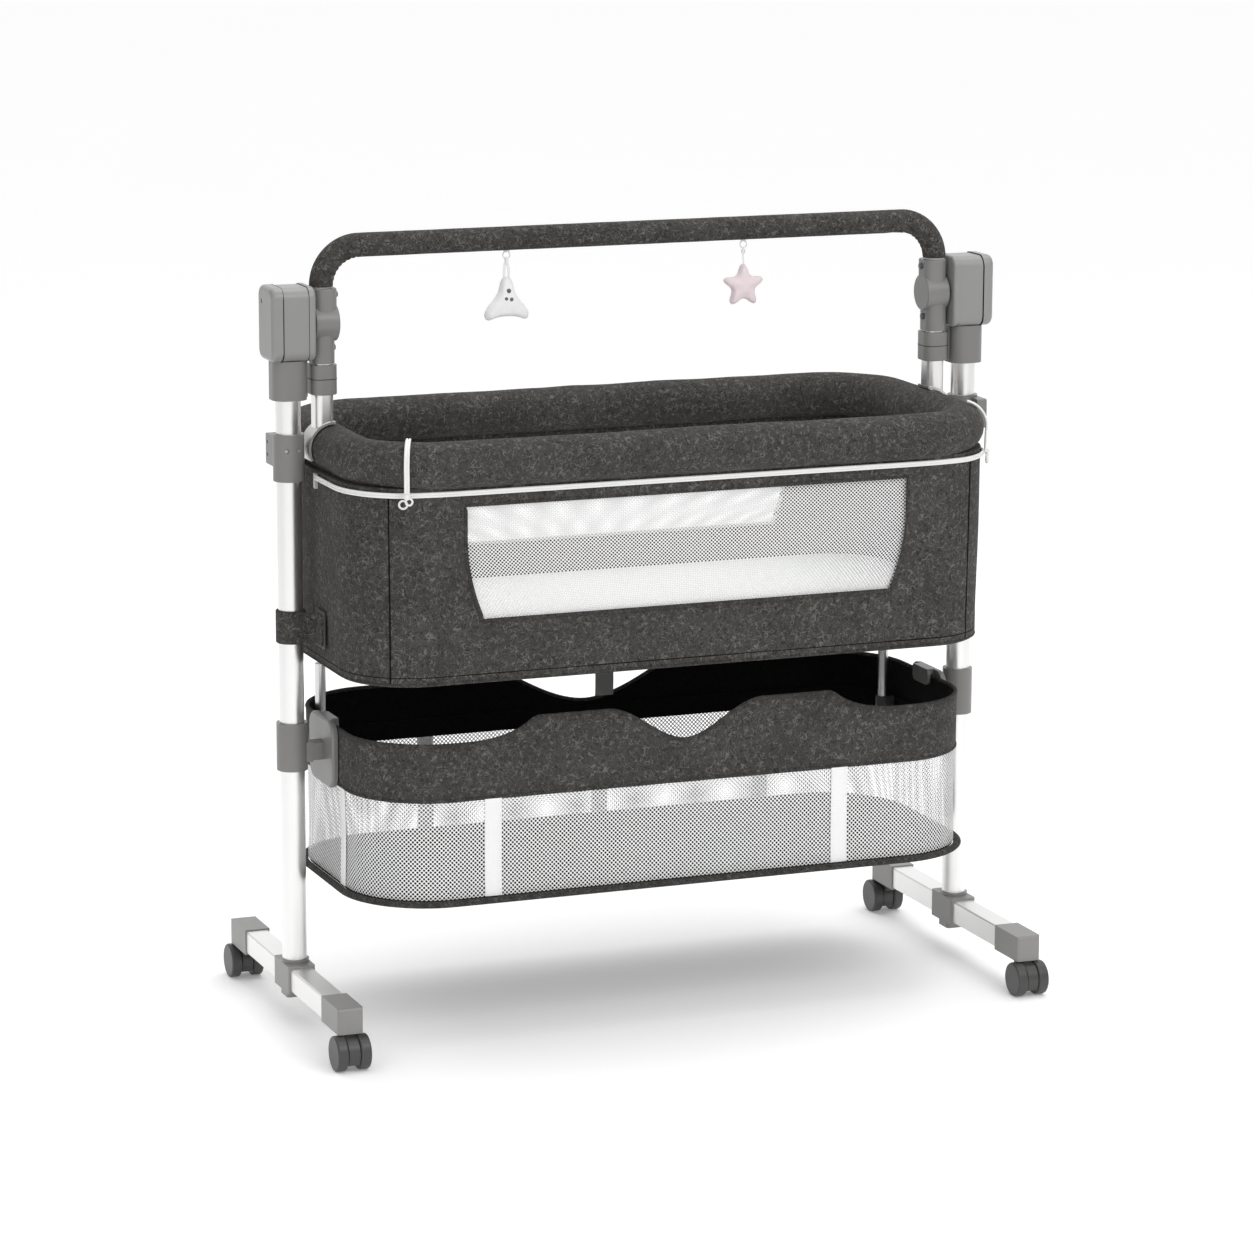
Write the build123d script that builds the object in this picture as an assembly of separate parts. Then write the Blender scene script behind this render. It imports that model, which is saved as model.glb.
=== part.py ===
from build123d import *
import math
import os

# Bassinet on a two-post stand.
# Millimetres.  X runs along the bed, the front is -Y, +Z is up, and the
# origin is on the floor below the middle of the bed.

# ---- stand ----------------------------------------------------------------
POST_SPACING = 940.0      # between the two post axes
POST_X = POST_SPACING / 2
POST_R = 16.0
TUBE_WALL = 1.5
FOOT_LENGTH = 464.0       # over the two end caps
FOOT_TUBE = 30.0          # square tube of the feet
CAP_LENGTH = 68.0
CAP_WALL = 1.75
CAP_WIDTH = FOOT_TUBE + 2 * CAP_WALL
CAP_BOTTOM = 46.5         # underside of the feet above the floor
SADDLE_LENGTH = 64.0      # the piece that joins post and foot
SADDLE_WALL = 3.0

# ---- casters --------------------------------------------------------------
WHEEL_R = 22.5
WHEEL_WIDTH = 14.0
HOOD_WIDTH = 14.4
WHEEL_GAP = 0.8
CASTER_TRAIL = 22.0
CASTER_INSET = 25.5       # swivel axis behind the end of the foot
AXLE_R = 3.0
STEM_R = 4.0

# ---- drive boxes on the posts ---------------------------------------------
PIVOT_Z = 909.0           # rocking axis above the floor
BOX_BOTTOM = PIVOT_Z - 45.0
BOX_HEIGHT = 94.0
BOX_DEPTH = 62.0
BOX_CORNER = 14.0
BOX_WALL = 2.6
OUTER_COVER = 15.0
BOX_BODY = 34.0
INNER_COVER = 9.0
COLLAR_WIDTH = 45.0
COLLAR_BOTTOM = BOX_BOTTOM - 50.0

# ---- swinging frame -------------------------------------------------------
SWING_WIDTH = 24.0        # section of the hanging tubes
SWING_DEPTH = 30.0
SWING_CORNER = 8.0
NECK_WALL = 2.5
HUB_GAP = 14.5            # from the post's surface to the neck of the hub
HUB_X = POST_X - POST_R - HUB_GAP - NECK_WALL - SWING_WIDTH / 2
HUB_INSIDE = SWING_WIDTH / 2 + 6.0   # hub faces from the axis of the hanging tube
HUB_OUTSIDE = SWING_WIDTH / 2 + 1.5
HUB_R = 24.0
HUB_INNER_X = HUB_X - HUB_INSIDE
HUB_OUTER_X = HUB_X + HUB_OUTSIDE
SHAFT_R = 6.0
SHAFT_CLEARANCE = 0.04
NECK_BOTTOM = PIVOT_Z - 50.5
RING_HEIGHT = 38.0
RING_WALL = 5.0
RING_TOP = NECK_BOTTOM - 2.0
RING_BOTTOM = RING_TOP - RING_HEIGHT
SWING_TOP = PIVOT_Z - 43.0
UPPER_COLLAR_TOP = PIVOT_Z + 44.0

# ---- toy bar --------------------------------------------------------------
BAR_RISE = 96.0           # straight run of the bar above the rocking axis
BAR_Z = PIVOT_Z + BAR_RISE
BAR_R = 11.0
BAR_SLEEVE_R = 15.5
BAR_BEND = 50.0
BAR_CLEARANCE = 0.3
BAR_SEAT = PIVOT_Z + 10.0           # lower end of the bar's legs
SLEEVE_BOTTOM = UPPER_COLLAR_TOP + 1.5

# ---- bed ------------------------------------------------------------------
ROLL_R = 31.0
RIM_INSET = ROLL_R - 20.0           # rim line from the hanging tubes' axis
RIM_A = HUB_X - RIM_INSET           # half length of the rim's middle line
RIM_B = 187.0             # half depth of the rim's middle line
RIM_CORNER = 92.0
RIM_Z = 750.0
RIM_TUBE_R = 9.0
BODY_A = RIM_A + 26.0
BODY_B = RIM_B + 8.0
BODY_CORNER = 96.0
BODY_BOTTOM = 471.0
BODY_TOP = RIM_Z - 28.0
BODY_WALL = 12.0
BODY_FLOOR = 6.0
WINDOW_A = 302.0          # half width of the windows at the top
WINDOW_FOOT_A = 280.0     # half width of the windows at the bottom
WINDOW_FRONT_BOTTOM = 552.0
WINDOW_BACK_BOTTOM = 573.0
WINDOW_TOP = BODY_TOP - 22.0
NET_THICKNESS = 1.6
NET_INSET = 2.0           # net behind the outer face of the tub
BOARD_THICKNESS = 6.0
MATTRESS_BOTTOM = BODY_BOTTOM + BODY_FLOOR + BOARD_THICKNESS + 1.0
MATTRESS_THICKNESS = 50.0
MATTRESS_GAP = 3.0

# ---- basket ---------------------------------------------------------------
BASKET_INSET = 46.0       # end of the basket from the post axis
BASKET_A = POST_X - BASKET_INSET
BASKET_B = 182.0
BASKET_CORNER = 110.0
BASKET_FLOOR_Z = 188.0
BAND_BOTTOM = 319.0
BAND_END_TOP = 393.0      # band over the ends
BAND_HIGH_TOP = 421.0     # band beside the dips
FRONT_DIP_Z = 375.0
BACK_DIP_Z = 352.0
FRONT_DIP_HALF = 95.0
BACK_DIP_HALF = 185.0
SHOULDER_X = 205.0        # where the high runs end
SHOULDER_END_X = 300.0
BAND_WALL = 5.0
NET_WALL = 2.0
FRAME_BAR = 3.0
FRAME_BAR_HEIGHT = 22.0
FLANGE = 9.0

FOOT_B = FOOT_LENGTH / 2
FOOT_TUBE_BOTTOM = CAP_BOTTOM + CAP_WALL
FOOT_TUBE_TOP = FOOT_TUBE_BOTTOM + FOOT_TUBE
POST_BOTTOM = FOOT_TUBE_TOP + SADDLE_WALL
POST_TOP = BOX_BOTTOM - 3.0
BOX_OUTER_X = POST_X + (OUTER_COVER + BOX_BODY + INNER_COVER) / 2
BODY_OUT_X = BOX_OUTER_X - OUTER_COVER
BODY_IN_X = BODY_OUT_X - BOX_BODY
BOX_INNER_X = BODY_IN_X - INNER_COVER
WHEEL_Z = WHEEL_R
ENDS = (("left", -1), ("right", 1))

# ---- small parts ----------------------------------------------------------
RIM_SCREW_R = 2.0
SCREW_SEAT = 0.8          # countersink left in the saddle below the screw head
SCREW_HEAD = 1.7
SCREW_HEAD_R = 4.0
CLAMP_LOW = 40.0          # rim sleeve on the post, below and above the rim line
CLAMP_HIGH = 20.0
LUG_HOLES_Z = (RIM_Z - 10.0, RIM_Z + 6.0)
LUG_HOLE_Y = 29.0
LUG_HOLE_R = 2.5
BRACKET_SCREW_DX = (-8.5, 8.5)
BRACKET_SCREW_Z = RIM_Z
CLAMP_WALL = 4.0          # wall of the sleeves on the posts
SCREW_SINK = 1.6          # head of the set screws from the post's surface
HOOK_X = POST_X - 24.0    # where the hook block meets the post clamp
PLATE_X = BASKET_A + 8.0
FRONT_WEBBING_X = (-262.0, 216.0)
BACK_WEBBING_X = (-228.0, 22.0, 258.0)
STOP_X = BASKET_A - 22.0
STOP_Y = 92.0
STOP_R = 7.0
STOP_TOP = 450.0
STRAP_GAP = 0.6
PATCH_THICKNESS = 1.4
BUTTON_R = 4.0
BUTTON_STICKS_OUT = 3.4
BUTTON_BORE = 4.1
NECK_FACE_X = HUB_X - SWING_WIDTH / 2 - NECK_WALL
BUTTON_PLACES = ((UPPER_COLLAR_TOP - 9.0, HUB_INNER_X), (NECK_BOTTOM + 18.5, NECK_FACE_X))
RIM_SCREW_Y = (-9.0, 9.0)
CORD_Z = RIM_Z - ROLL_R - 3.2
CORD_H = 7.0
CORD_OUT = 3.2
CORD_END_Y = -26.0
TIE_TURN = 27.0           # where the tie stands round the left front corner of the rim, degrees
TIE_WIDTH = 7.2
TIE_THICK = 2.4
TIE_SLACK = 0.2
TRIANGLE_X = -177.0
STAR_X = 151.0
TOY_TOP = BAR_Z - 48.0
PATCH_BOTTOM = 498.0
PATCH_TOP = 547.0
STRAP_INSIDE_X = (-13.0, 13.0)       # hanging strap below the bed
STRAP_Y = 107.2
STRAP_DROP = 99.0
STRAP_THICK = 1.6
WEBBING_WIDTH = 23.0
WEBBING_THICK = 1.4
TOY_DEPTH = 20.0
TOY_CLEARANCE = 0.9

os.makedirs("parts", exist_ok=True)
written = []


def save(name, *solids):
    """Write one node: its solids stay apart in one file."""
    pieces = []
    for solid in solids:
        pieces.extend(solid.solids())
    shape = pieces[0] if len(pieces) == 1 else Compound(children=pieces)
    export_step(shape, os.path.join("parts", name + ".step"))
    written.append(name)


def box(x0, x1, y0, y1, z0, z1):
    """Box between two corners, in any order along X."""
    low, high = min(x0, x1), max(x0, x1)
    return Pos((low + high) / 2, (y0 + y1) / 2, (z0 + z1) / 2) * Box(high - low, y1 - y0, z1 - z0)


def rod_x(x0, x1, y, z, radius):
    """Round rod along X."""
    low, high = min(x0, x1), max(x0, x1)
    return Pos((low + high) / 2, y, z) * Rot(0, 90, 0) * Cylinder(radius, high - low)


def rod_y(x, y0, y1, z, radius):
    """Round rod along Y."""
    return Pos(x, (y0 + y1) / 2, z) * Rot(90, 0, 0) * Cylinder(radius, y1 - y0)


def rod_z(x, y, z0, z1, radius):
    """Round rod along Z."""
    return Pos(x, y, (z0 + z1) / 2) * Cylinder(radius, z1 - z0)


def post_block(x, y, z0, z1, width, depth, corner):
    """Upright block with rounded vertical edges."""
    plan = Pos(x, y, z0) * RectangleRounded(width, depth, corner)
    return extrude(plan, z1 - z0)


def oval(a, b, corner, z0, z1):
    """Upright rounded rectangle of half length a and half depth b."""
    return post_block(0, 0, z0, z1, 2 * a, 2 * b, corner)


def end_block(x0, x1, depth, z0, z1, corner):
    """Block along X whose end faces are rounded rectangles."""
    low, high = min(x0, x1), max(x0, x1)
    plane = Plane(origin=(low, 0, (z0 + z1) / 2), x_dir=(0, 1, 0), z_dir=(1, 0, 0))
    return extrude(plane * RectangleRounded(depth, z1 - z0, corner), high - low)


def mirrored(shape):
    return mirror(shape, Plane.YZ)


# ---- stand ----------------------------------------------------------------
def foot_tube(side):
    length = FOOT_LENGTH - 2 * CAP_WALL
    x = side * POST_X
    z = FOOT_TUBE_BOTTOM + FOOT_TUBE / 2
    outer = Pos(x, 0, z) * Box(FOOT_TUBE, length, FOOT_TUBE)
    inner = Pos(x, 0, z) * Box(FOOT_TUBE - 2 * TUBE_WALL, length, FOOT_TUBE - 2 * TUBE_WALL)
    edges = outer.edges().filter_by(Axis.Y)
    return fillet(edges, 2.5) - inner


def foot_cap(side, end):
    """Hollow cap with the caster's socket in its underside."""
    x = side * POST_X
    top = FOOT_TUBE_TOP + CAP_WALL
    y_out = end * FOOT_B
    y_in = end * (FOOT_B - CAP_LENGTH)
    z = (CAP_BOTTOM + top) / 2
    block = Pos(x, (y_out + y_in) / 2, z) * Box(CAP_WIDTH, CAP_LENGTH, top - CAP_BOTTOM)
    outer_face = block.faces().sort_by(Axis.Y)[-1 if end > 0 else 0]
    block = fillet(outer_face.edges().filter_by(Axis.Z) + outer_face.edges().sort_by(Axis.Z)[-1:], 4.0)
    depth = CAP_LENGTH - CAP_WALL
    pocket_y = end * (FOOT_B - CAP_WALL - depth / 2)
    pocket = Pos(x, pocket_y, FOOT_TUBE_BOTTOM + FOOT_TUBE / 2) * Box(FOOT_TUBE, depth, FOOT_TUBE)
    stem_y = end * (FOOT_B - CASTER_INSET)
    hole = rod_z(x, stem_y, CAP_BOTTOM - 1, FOOT_TUBE_BOTTOM + 1, STEM_R + SHAFT_CLEARANCE)
    return block - fillet(pocket.edges().filter_by(Axis.Y), 2.5) - hole


def foot_tube_with_sockets(side):
    tube = foot_tube(side)
    for end in (-1, 1):
        y = end * (FOOT_B - CASTER_INSET)
        low = FOOT_TUBE_BOTTOM - 1
        tube -= rod_z(side * POST_X, y, low, low + TUBE_WALL + 2, STEM_R + SHAFT_CLEARANCE)
    return tube


def foot_saddle(side):
    """Saddle round the foot, with a spigot inside the post and a nut box below."""
    x = side * POST_X
    width = FOOT_TUBE + 2 * SADDLE_WALL
    bottom = FOOT_TUBE_BOTTOM - SADDLE_WALL
    body = post_block(x, 0, bottom, POST_BOTTOM, width, SADDLE_LENGTH, 3.0)
    lip = rod_z(x, 0, POST_BOTTOM, POST_BOTTOM + 4, POST_R + 2.6)
    lip -= rod_z(x, 0, POST_BOTTOM, POST_BOTTOM + 4, POST_R)
    spigot = rod_z(x, 0, POST_BOTTOM, POST_BOTTOM + 36, POST_R - TUBE_WALL)
    nut_box = post_block(x, 0, bottom - 9, bottom, width - 6, 30, 4.0)
    tunnel = Pos(x, 0, FOOT_TUBE_BOTTOM + FOOT_TUBE / 2) * Box(FOOT_TUBE, SADDLE_LENGTH + 2, FOOT_TUBE)
    return body + lip + spigot + nut_box - fillet(tunnel.edges().filter_by(Axis.Y), 2.5)


def post(side):
    x = side * POST_X
    tube = rod_z(x, 0, POST_BOTTOM, POST_TOP, POST_R)
    return tube - rod_z(x, 0, POST_BOTTOM, POST_TOP, POST_R - TUBE_WALL)


def post_collar(side):
    """Collar between post and drive box, with a rib on the bed side."""
    x = side * POST_X
    body = post_block(x, 0, COLLAR_BOTTOM, BOX_BOTTOM, COLLAR_WIDTH, COLLAR_WIDTH, 17.0)
    rib_x = x - side * COLLAR_WIDTH / 2
    rib = box(rib_x, rib_x + side * 6, -5, 5, COLLAR_BOTTOM + 2, BOX_BOTTOM)
    rib = Pos(-side * 2.0, 0, 0) * rib
    return body + rib - rod_z(x, 0, COLLAR_BOTTOM - 1, POST_TOP, POST_R)


def box_body(side):
    """Middle shell of the drive box, open towards both covers."""
    x0, x1 = side * BODY_IN_X, side * BODY_OUT_X
    top = BOX_BOTTOM + BOX_HEIGHT
    outer = end_block(x0, x1, BOX_DEPTH - 2, BOX_BOTTOM, top - 1, BOX_CORNER)
    wall = BOX_WALL
    inner = end_block(x0, x1, BOX_DEPTH - 2 - 2 * wall, BOX_BOTTOM + wall, top - 1 - wall, BOX_CORNER - wall)
    return outer - inner


def cover_screw_place(side):
    return side * BOX_OUTER_X, 14.0, BOX_BOTTOM + BOX_HEIGHT - 20


def outer_cover(side):
    """Dished cover on the far side of the box, with one sunk screw."""
    x0, x1 = side * BODY_OUT_X, side * BOX_OUTER_X
    top = BOX_BOTTOM + BOX_HEIGHT
    shell = end_block(x0, x1, BOX_DEPTH, BOX_BOTTOM, top, BOX_CORNER)
    far_face = shell.faces().sort_by(Axis.X)[-1 if side > 0 else 0]
    shell = fillet(far_face.edges(), 6.0)
    inner = end_block(x0, x1 - side * BOX_WALL, BOX_DEPTH - 2 * BOX_WALL,
                      BOX_BOTTOM + BOX_WALL, top - BOX_WALL, BOX_CORNER - BOX_WALL)
    inner = fillet(inner.faces().sort_by(Axis.X)[-1 if side > 0 else 0].edges(), 4.5)
    sx, sy, sz = cover_screw_place(side)
    boss = rod_x(x0, sx - side * 1.0, sy, sz, 5.0)
    hole = rod_x(x0 - side, sx + side, sy, sz, 1.6)
    sink = rod_x(sx - side * 3.2, sx + side, sy, sz, 3.0)
    return shell - inner + boss - hole - sink


def inner_cover(side):
    """Cover on the bed side, with the bearing's seat."""
    x0, x1 = side * BOX_INNER_X, side * BODY_IN_X
    top = BOX_BOTTOM + BOX_HEIGHT
    shell = end_block(x0, x1, BOX_DEPTH, BOX_BOTTOM, top, BOX_CORNER)
    near_face = shell.faces().sort_by(Axis.X)[0 if side > 0 else -1]
    shell = fillet(near_face.edges(), 4.0)
    inner = end_block(x0 + side * BOX_WALL, x1, BOX_DEPTH - 2 * BOX_WALL,
                      BOX_BOTTOM + BOX_WALL, top - BOX_WALL, BOX_CORNER - BOX_WALL)
    seat = rod_x(x0 + side * BOX_WALL, x1, 0, PIVOT_Z, 14.0)
    bearing = rod_x(x0 + side * 2, x1 + side, 0, PIVOT_Z, 11.0)
    bore = rod_x(x0 - side, x1, 0, PIVOT_Z, SHAFT_R + 1.0)
    return shell - inner + seat - bearing - bore


def shaft_bearing(side):
    x0, x1 = side * (BOX_INNER_X + 2), side * BODY_IN_X
    ring = rod_x(x0, x1, 0, PIVOT_Z, 11.0)
    return ring - rod_x(x0 - side, x1 + side, 0, PIVOT_Z, SHAFT_R + SHAFT_CLEARANCE)


def drive_coil():
    """Wound coil that pushes the magnet on the rocking arm."""
    x0, x1 = -(BODY_OUT_X - 3), -(BODY_OUT_X - 11)
    z = BOX_BOTTOM + BOX_WALL + 13
    outer = end_block(x0, x1, 40, z - 12.5, z + 12.5, 6.0)
    return outer - end_block(x0 - 1, x1 + 1, 26, z - 6, z + 6, 3.0)


def control_board():
    """Circuit board held inside the left outer cover."""
    x = -(BODY_OUT_X + 5)
    return box(x, x - 1.6, -22, 8, BOX_BOTTOM + 24, BOX_BOTTOM + 84)


def cover_screw(side):
    sx, sy, sz = cover_screw_place(side)
    head = rod_x(sx - side * 3.2, sx - side * 1.2, sy, sz, 2.9)
    return head + rod_x(side * BODY_OUT_X, sx - side * 3.2, sy, sz, 1.6)


def post_bracket(side):
    """Sleeve on the post at rim height, with a lug for a bedside anchor.
    The right one is the left one turned half round."""
    x = side * POST_X
    body = rod_z(x, 0, RIM_Z - CLAMP_LOW, RIM_Z + CLAMP_HIGH, POST_R + CLAMP_WALL)
    lug_x0 = x + side * 5
    lug_x1 = x + side * 19
    reach = 36.0
    y0, y1 = (0, reach) if side < 0 else (-reach, 0)
    lug = box(lug_x0, lug_x1, y0, y1, RIM_Z - 22, RIM_Z + 17)
    lug = fillet(lug.edges().filter_by(Axis.X), 2.5)
    body = body + lug - rod_z(x, 0, RIM_Z - 50, RIM_Z + 30, POST_R)
    for z in LUG_HOLES_Z:
        body -= rod_x(lug_x0 - side * 8, lug_x1 + side * 2, -side * LUG_HOLE_Y, z, LUG_HOLE_R)
    for dx in BRACKET_SCREW_DX:
        body -= rod_y(x + dx, -POST_R - 5, 0, BRACKET_SCREW_Z, 2.0)
        body -= rod_y(x + dx, -POST_R - 8, -POST_R - SCREW_SINK, BRACKET_SCREW_Z, 3.2)
    return body


def bracket_screw(side, dx):
    """Set screw in the front of the post bracket, its head below the surface."""
    x = side * POST_X + dx
    tip = -math.sqrt(POST_R**2 - (abs(dx) - 2.0)**2)
    head = rod_y(x, -POST_R - SCREW_SINK, tip - 0.1, BRACKET_SCREW_Z, 1.9)
    return head


def basket_clamp(side):
    """Sleeve on the post that carries the basket bracket."""
    x = side * POST_X
    body = rod_z(x, 0, 335, 397, POST_R + CLAMP_WALL)
    boss = box(x - side * 14, side * HOOK_X, -13, 13, 345, 371)
    return body + boss - rod_z(x, 0, 330, 400, POST_R)


def basket_bracket(side):
    """Rounded plate over the end of the basket, folded over its band."""
    x0, x1 = side * (BASKET_A + 0.4), side * PLATE_X
    plate = end_block(x0, x1, 98, 314, 402, 20.0)
    outer_face = plate.faces().sort_by(Axis.X)[-1 if side > 0 else 0]
    plate = fillet(outer_face.edges(), 3.0)
    inside = side * (BASKET_A - BAND_WALL - 0.4)
    tab = end_block(inside - side * 4, inside, 48, 380, 402, 8.0)
    bridge = box(inside - side * 4, x1 - side * 3, -22, 22, BAND_END_TOP + 0.4, 402)
    hook = box(side * PLATE_X, side * HOOK_X, -12, 12, 347, 369)
    return plate + tab + bridge + hook


# ---- basket ---------------------------------------------------------------
def basket_ring(inset, wall, z0, z1):
    outer = oval(BASKET_A - inset, BASKET_B - inset, BASKET_CORNER - inset, z0, z1)
    inner = oval(BASKET_A - inset - wall, BASKET_B - inset - wall, BASKET_CORNER - inset - wall, z0, z1)
    return outer - inner


def band_cutter(y0, y1, dip_z, dip_a, flat_a, end_a):
    """What is cut away above one long side of the band."""
    far = BASKET_A + 20
    top = BAND_HIGH_TOP + 20
    high, low = BAND_HIGH_TOP, BAND_END_TOP
    pull = dip_a * 0.5
    half = (end_a - flat_a) * 0.5
    with BuildSketch(Plane.XZ) as sketch:
        with BuildLine():
            Line((0, dip_z), (0, top))
            Line((0, top), (far, top))
            Line((far, top), (far, low))
            Line((far, low), (end_a, low))
            Bezier((end_a, low), (end_a - half, low), (flat_a + half, high), (flat_a, high))
            Line((flat_a, high), (dip_a, high))
            Bezier((dip_a, high), (dip_a - pull, high), (pull, dip_z), (0, dip_z))
        make_face()
    half_cut = extrude(sketch.sketch, y1 - y0)
    half_cut = Pos(0, y1, 0) * half_cut
    return half_cut + mirrored(half_cut)


def basket_band():
    ring = basket_ring(0, BAND_WALL, BAND_BOTTOM, BAND_HIGH_TOP)
    ring -= band_cutter(-BASKET_B - 10, 0, FRONT_DIP_Z, FRONT_DIP_HALF, SHOULDER_X, SHOULDER_END_X)
    ring -= band_cutter(0, BASKET_B + 10, BACK_DIP_Z, BACK_DIP_HALF, SHOULDER_X, SHOULDER_END_X)
    return ring


def basket_frame():
    """Flat bar bent to the basket's outline, inside the band."""
    return basket_ring(BAND_WALL, FRAME_BAR, BAND_BOTTOM + 3, BAND_BOTTOM + 3 + FRAME_BAR_HEIGHT)


def basket_net():
    return basket_ring(1, NET_WALL, BASKET_FLOOR_Z + 4, BAND_BOTTOM)


def basket_floor():
    return oval(BASKET_A - 1, BASKET_B - 1, BASKET_CORNER - 1, BASKET_FLOOR_Z, BASKET_FLOOR_Z + 4)


def basket_piping():
    """Covered flange round the foot of the basket."""
    z0, z1 = BASKET_FLOOR_Z - 4, BASKET_FLOOR_Z + 4
    outer = oval(BASKET_A - 1 + FLANGE, BASKET_B - 1 + FLANGE, BASKET_CORNER - 1 + FLANGE, z0, z1)
    rim = outer - oval(BASKET_A - 1, BASKET_B - 1, BASKET_CORNER - 1, z0, z1)
    return rim


def basket_webbing():
    """Flat webbing sewn down the outside of the net."""
    strips = []
    for y, places in ((-1, FRONT_WEBBING_X), (1, BACK_WEBBING_X)):
        near, far = BASKET_B - 1, BASKET_B - 1 + WEBBING_THICK
        low, high = min(y * near, y * far), max(y * near, y * far)
        for x in places:
            half = WEBBING_WIDTH / 2
            strips.append(box(x - half, x + half, low, high, BASKET_FLOOR_Z + 4, BAND_BOTTOM))
    return strips


def stop_rod(side):
    """Rod that stops the bed from rocking too far, in its clip."""
    return rod_z(side * STOP_X, STOP_Y, BAND_BOTTOM + 3, STOP_TOP, STOP_R)


def stop_rod_clip(side):
    """Clip that holds the stop rod to the basket's frame bar."""
    z0, z1 = BAND_BOTTOM + 3, BAND_BOTTOM + 3 + FRAME_BAR_HEIGHT
    block = box(side * (STOP_X - 4), side * (BASKET_A - 2), STOP_Y - 9, STOP_Y + 9, z0, z1)
    ring = rod_z(side * STOP_X, STOP_Y, z0, z1, STOP_R + 2.5)
    reach = BASKET_A - BAND_WALL - FRAME_BAR
    inside = oval(reach, BASKET_B - BAND_WALL - FRAME_BAR, BASKET_CORNER - BAND_WALL - FRAME_BAR, z0, z1)
    piece = (block + ring) & inside
    return piece - rod_z(side * STOP_X, STOP_Y, z0, z1, STOP_R)


def post_strap(side):
    """Strap round the post, with its tail lying along the end of the bed."""
    x = side * POST_X
    z0, z1 = PATCH_BOTTOM + 3, PATCH_TOP - 3
    loop = rod_z(x, 0, z0, z1, POST_R + 3.2) - rod_z(x, 0, z0, z1, POST_R)
    tail_x = side * (BODY_A + STRAP_GAP + PATCH_THICKNESS)
    out_x = tail_x + side * 2.4
    bridge = box(x, tail_x, -POST_R - 3.2, -POST_R, z0, z1)
    tail = box(tail_x, out_x, -48, -POST_R, z0 + 2, z1 - 2)
    return loop + bridge + tail - rod_z(x, 0, z0, z1, POST_R)


# ---- swinging frame -------------------------------------------------------
def pivot_hub(side):
    """Barrel on the rocking axis, with sockets for the bar and the tube."""
    x = side * HUB_X
    barrel = rod_x(side * HUB_INNER_X, side * HUB_OUTER_X, 0, PIVOT_Z, HUB_R)
    barrel = fillet(barrel.edges().filter_by(GeomType.CIRCLE), 1.6)
    mid = side * (HUB_INNER_X + HUB_OUTER_X) / 2
    width = HUB_OUTER_X - HUB_INNER_X
    upper = post_block(mid, 0, PIVOT_Z, UPPER_COLLAR_TOP, width, 38, 13.0)
    upper = fillet(upper.faces().sort_by(Axis.Z)[-1].edges(), 1.5)
    neck = post_block(x, 0, NECK_BOTTOM, PIVOT_Z, SWING_WIDTH + 2 * NECK_WALL, SWING_DEPTH + 7, 12.0)
    hub = barrel + upper + neck
    hub -= rod_z(x, 0, BAR_SEAT - 0.5, UPPER_COLLAR_TOP + 1, BAR_R + BAR_CLEARANCE)
    hub -= rod_x(side * (HUB_X - 9), side * (HUB_OUTER_X + 1), 0, PIVOT_Z, SHAFT_R)
    hub -= post_block(x, 0, NECK_BOTTOM - 1, SWING_TOP, SWING_WIDTH, SWING_DEPTH, SWING_CORNER)
    for z, face in BUTTON_PLACES:
        hub -= rod_x(side * (face - 1), side * (face + BUTTON_BORE), 0, z, BUTTON_R + 0.3)
    return hub


def push_button(side, place):
    """Release button; it travels into the hub."""
    z, face = place
    shape = rod_x(side * (face - BUTTON_STICKS_OUT), side * (face + 1.6), 0, z, BUTTON_R)
    tip = shape.faces().sort_by(Axis.X)[0 if side > 0 else -1]
    return fillet(tip.edges(), 1.2)


def pivot_shaft(side):
    return rod_x(side * (HUB_X - 9), side * (BODY_OUT_X - 13), 0, PIVOT_Z, SHAFT_R)


def magnet_arm():
    """Arm on the left shaft that carries the magnet past the coil."""
    x0, x1 = -(BODY_OUT_X - 13.5), -(BODY_OUT_X - 18.5)
    arm = box(x0, x1, -7, 7, BOX_BOTTOM + 14, PIVOT_Z)
    hub = rod_x(x0, x1, 0, PIVOT_Z, 10.0)
    magnet = rod_x(x0, x1, 0, BOX_BOTTOM + 16, 10.0)
    return arm + hub + magnet - rod_x(x0 - 1, x1 + 1, 0, PIVOT_Z, SHAFT_R)


def saddle_radius():
    return ROLL_R + 0.4


def swing_tube(side):
    """Hanging tube; its foot is cut to the saddle on the rim."""
    x = side * HUB_X
    outer = post_block(x, 0, RIM_Z, SWING_TOP, SWING_WIDTH, SWING_DEPTH, SWING_CORNER)
    inner = post_block(x, 0, RIM_Z, SWING_TOP, SWING_WIDTH - 2 * TUBE_WALL,
                       SWING_DEPTH - 2 * TUBE_WALL, SWING_CORNER - TUBE_WALL)
    saddle = rod_y(side * RIM_A, -30, 30, RIM_Z, saddle_radius() + 3.0)
    return outer - inner - saddle


def tube_collar(side):
    """Two-ring collar on the hanging tube below the hub."""
    x = side * HUB_X
    body = post_block(x, 0, RING_BOTTOM, RING_TOP, SWING_WIDTH + 2 * RING_WALL, SWING_DEPTH + 8, 12.0)
    body = fillet(body.faces().sort_by(Axis.Z)[0].edges(), 1.5)
    return body - post_block(x, 0, RING_BOTTOM - 1, RING_TOP + 1, SWING_WIDTH, SWING_DEPTH, SWING_CORNER)


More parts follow.
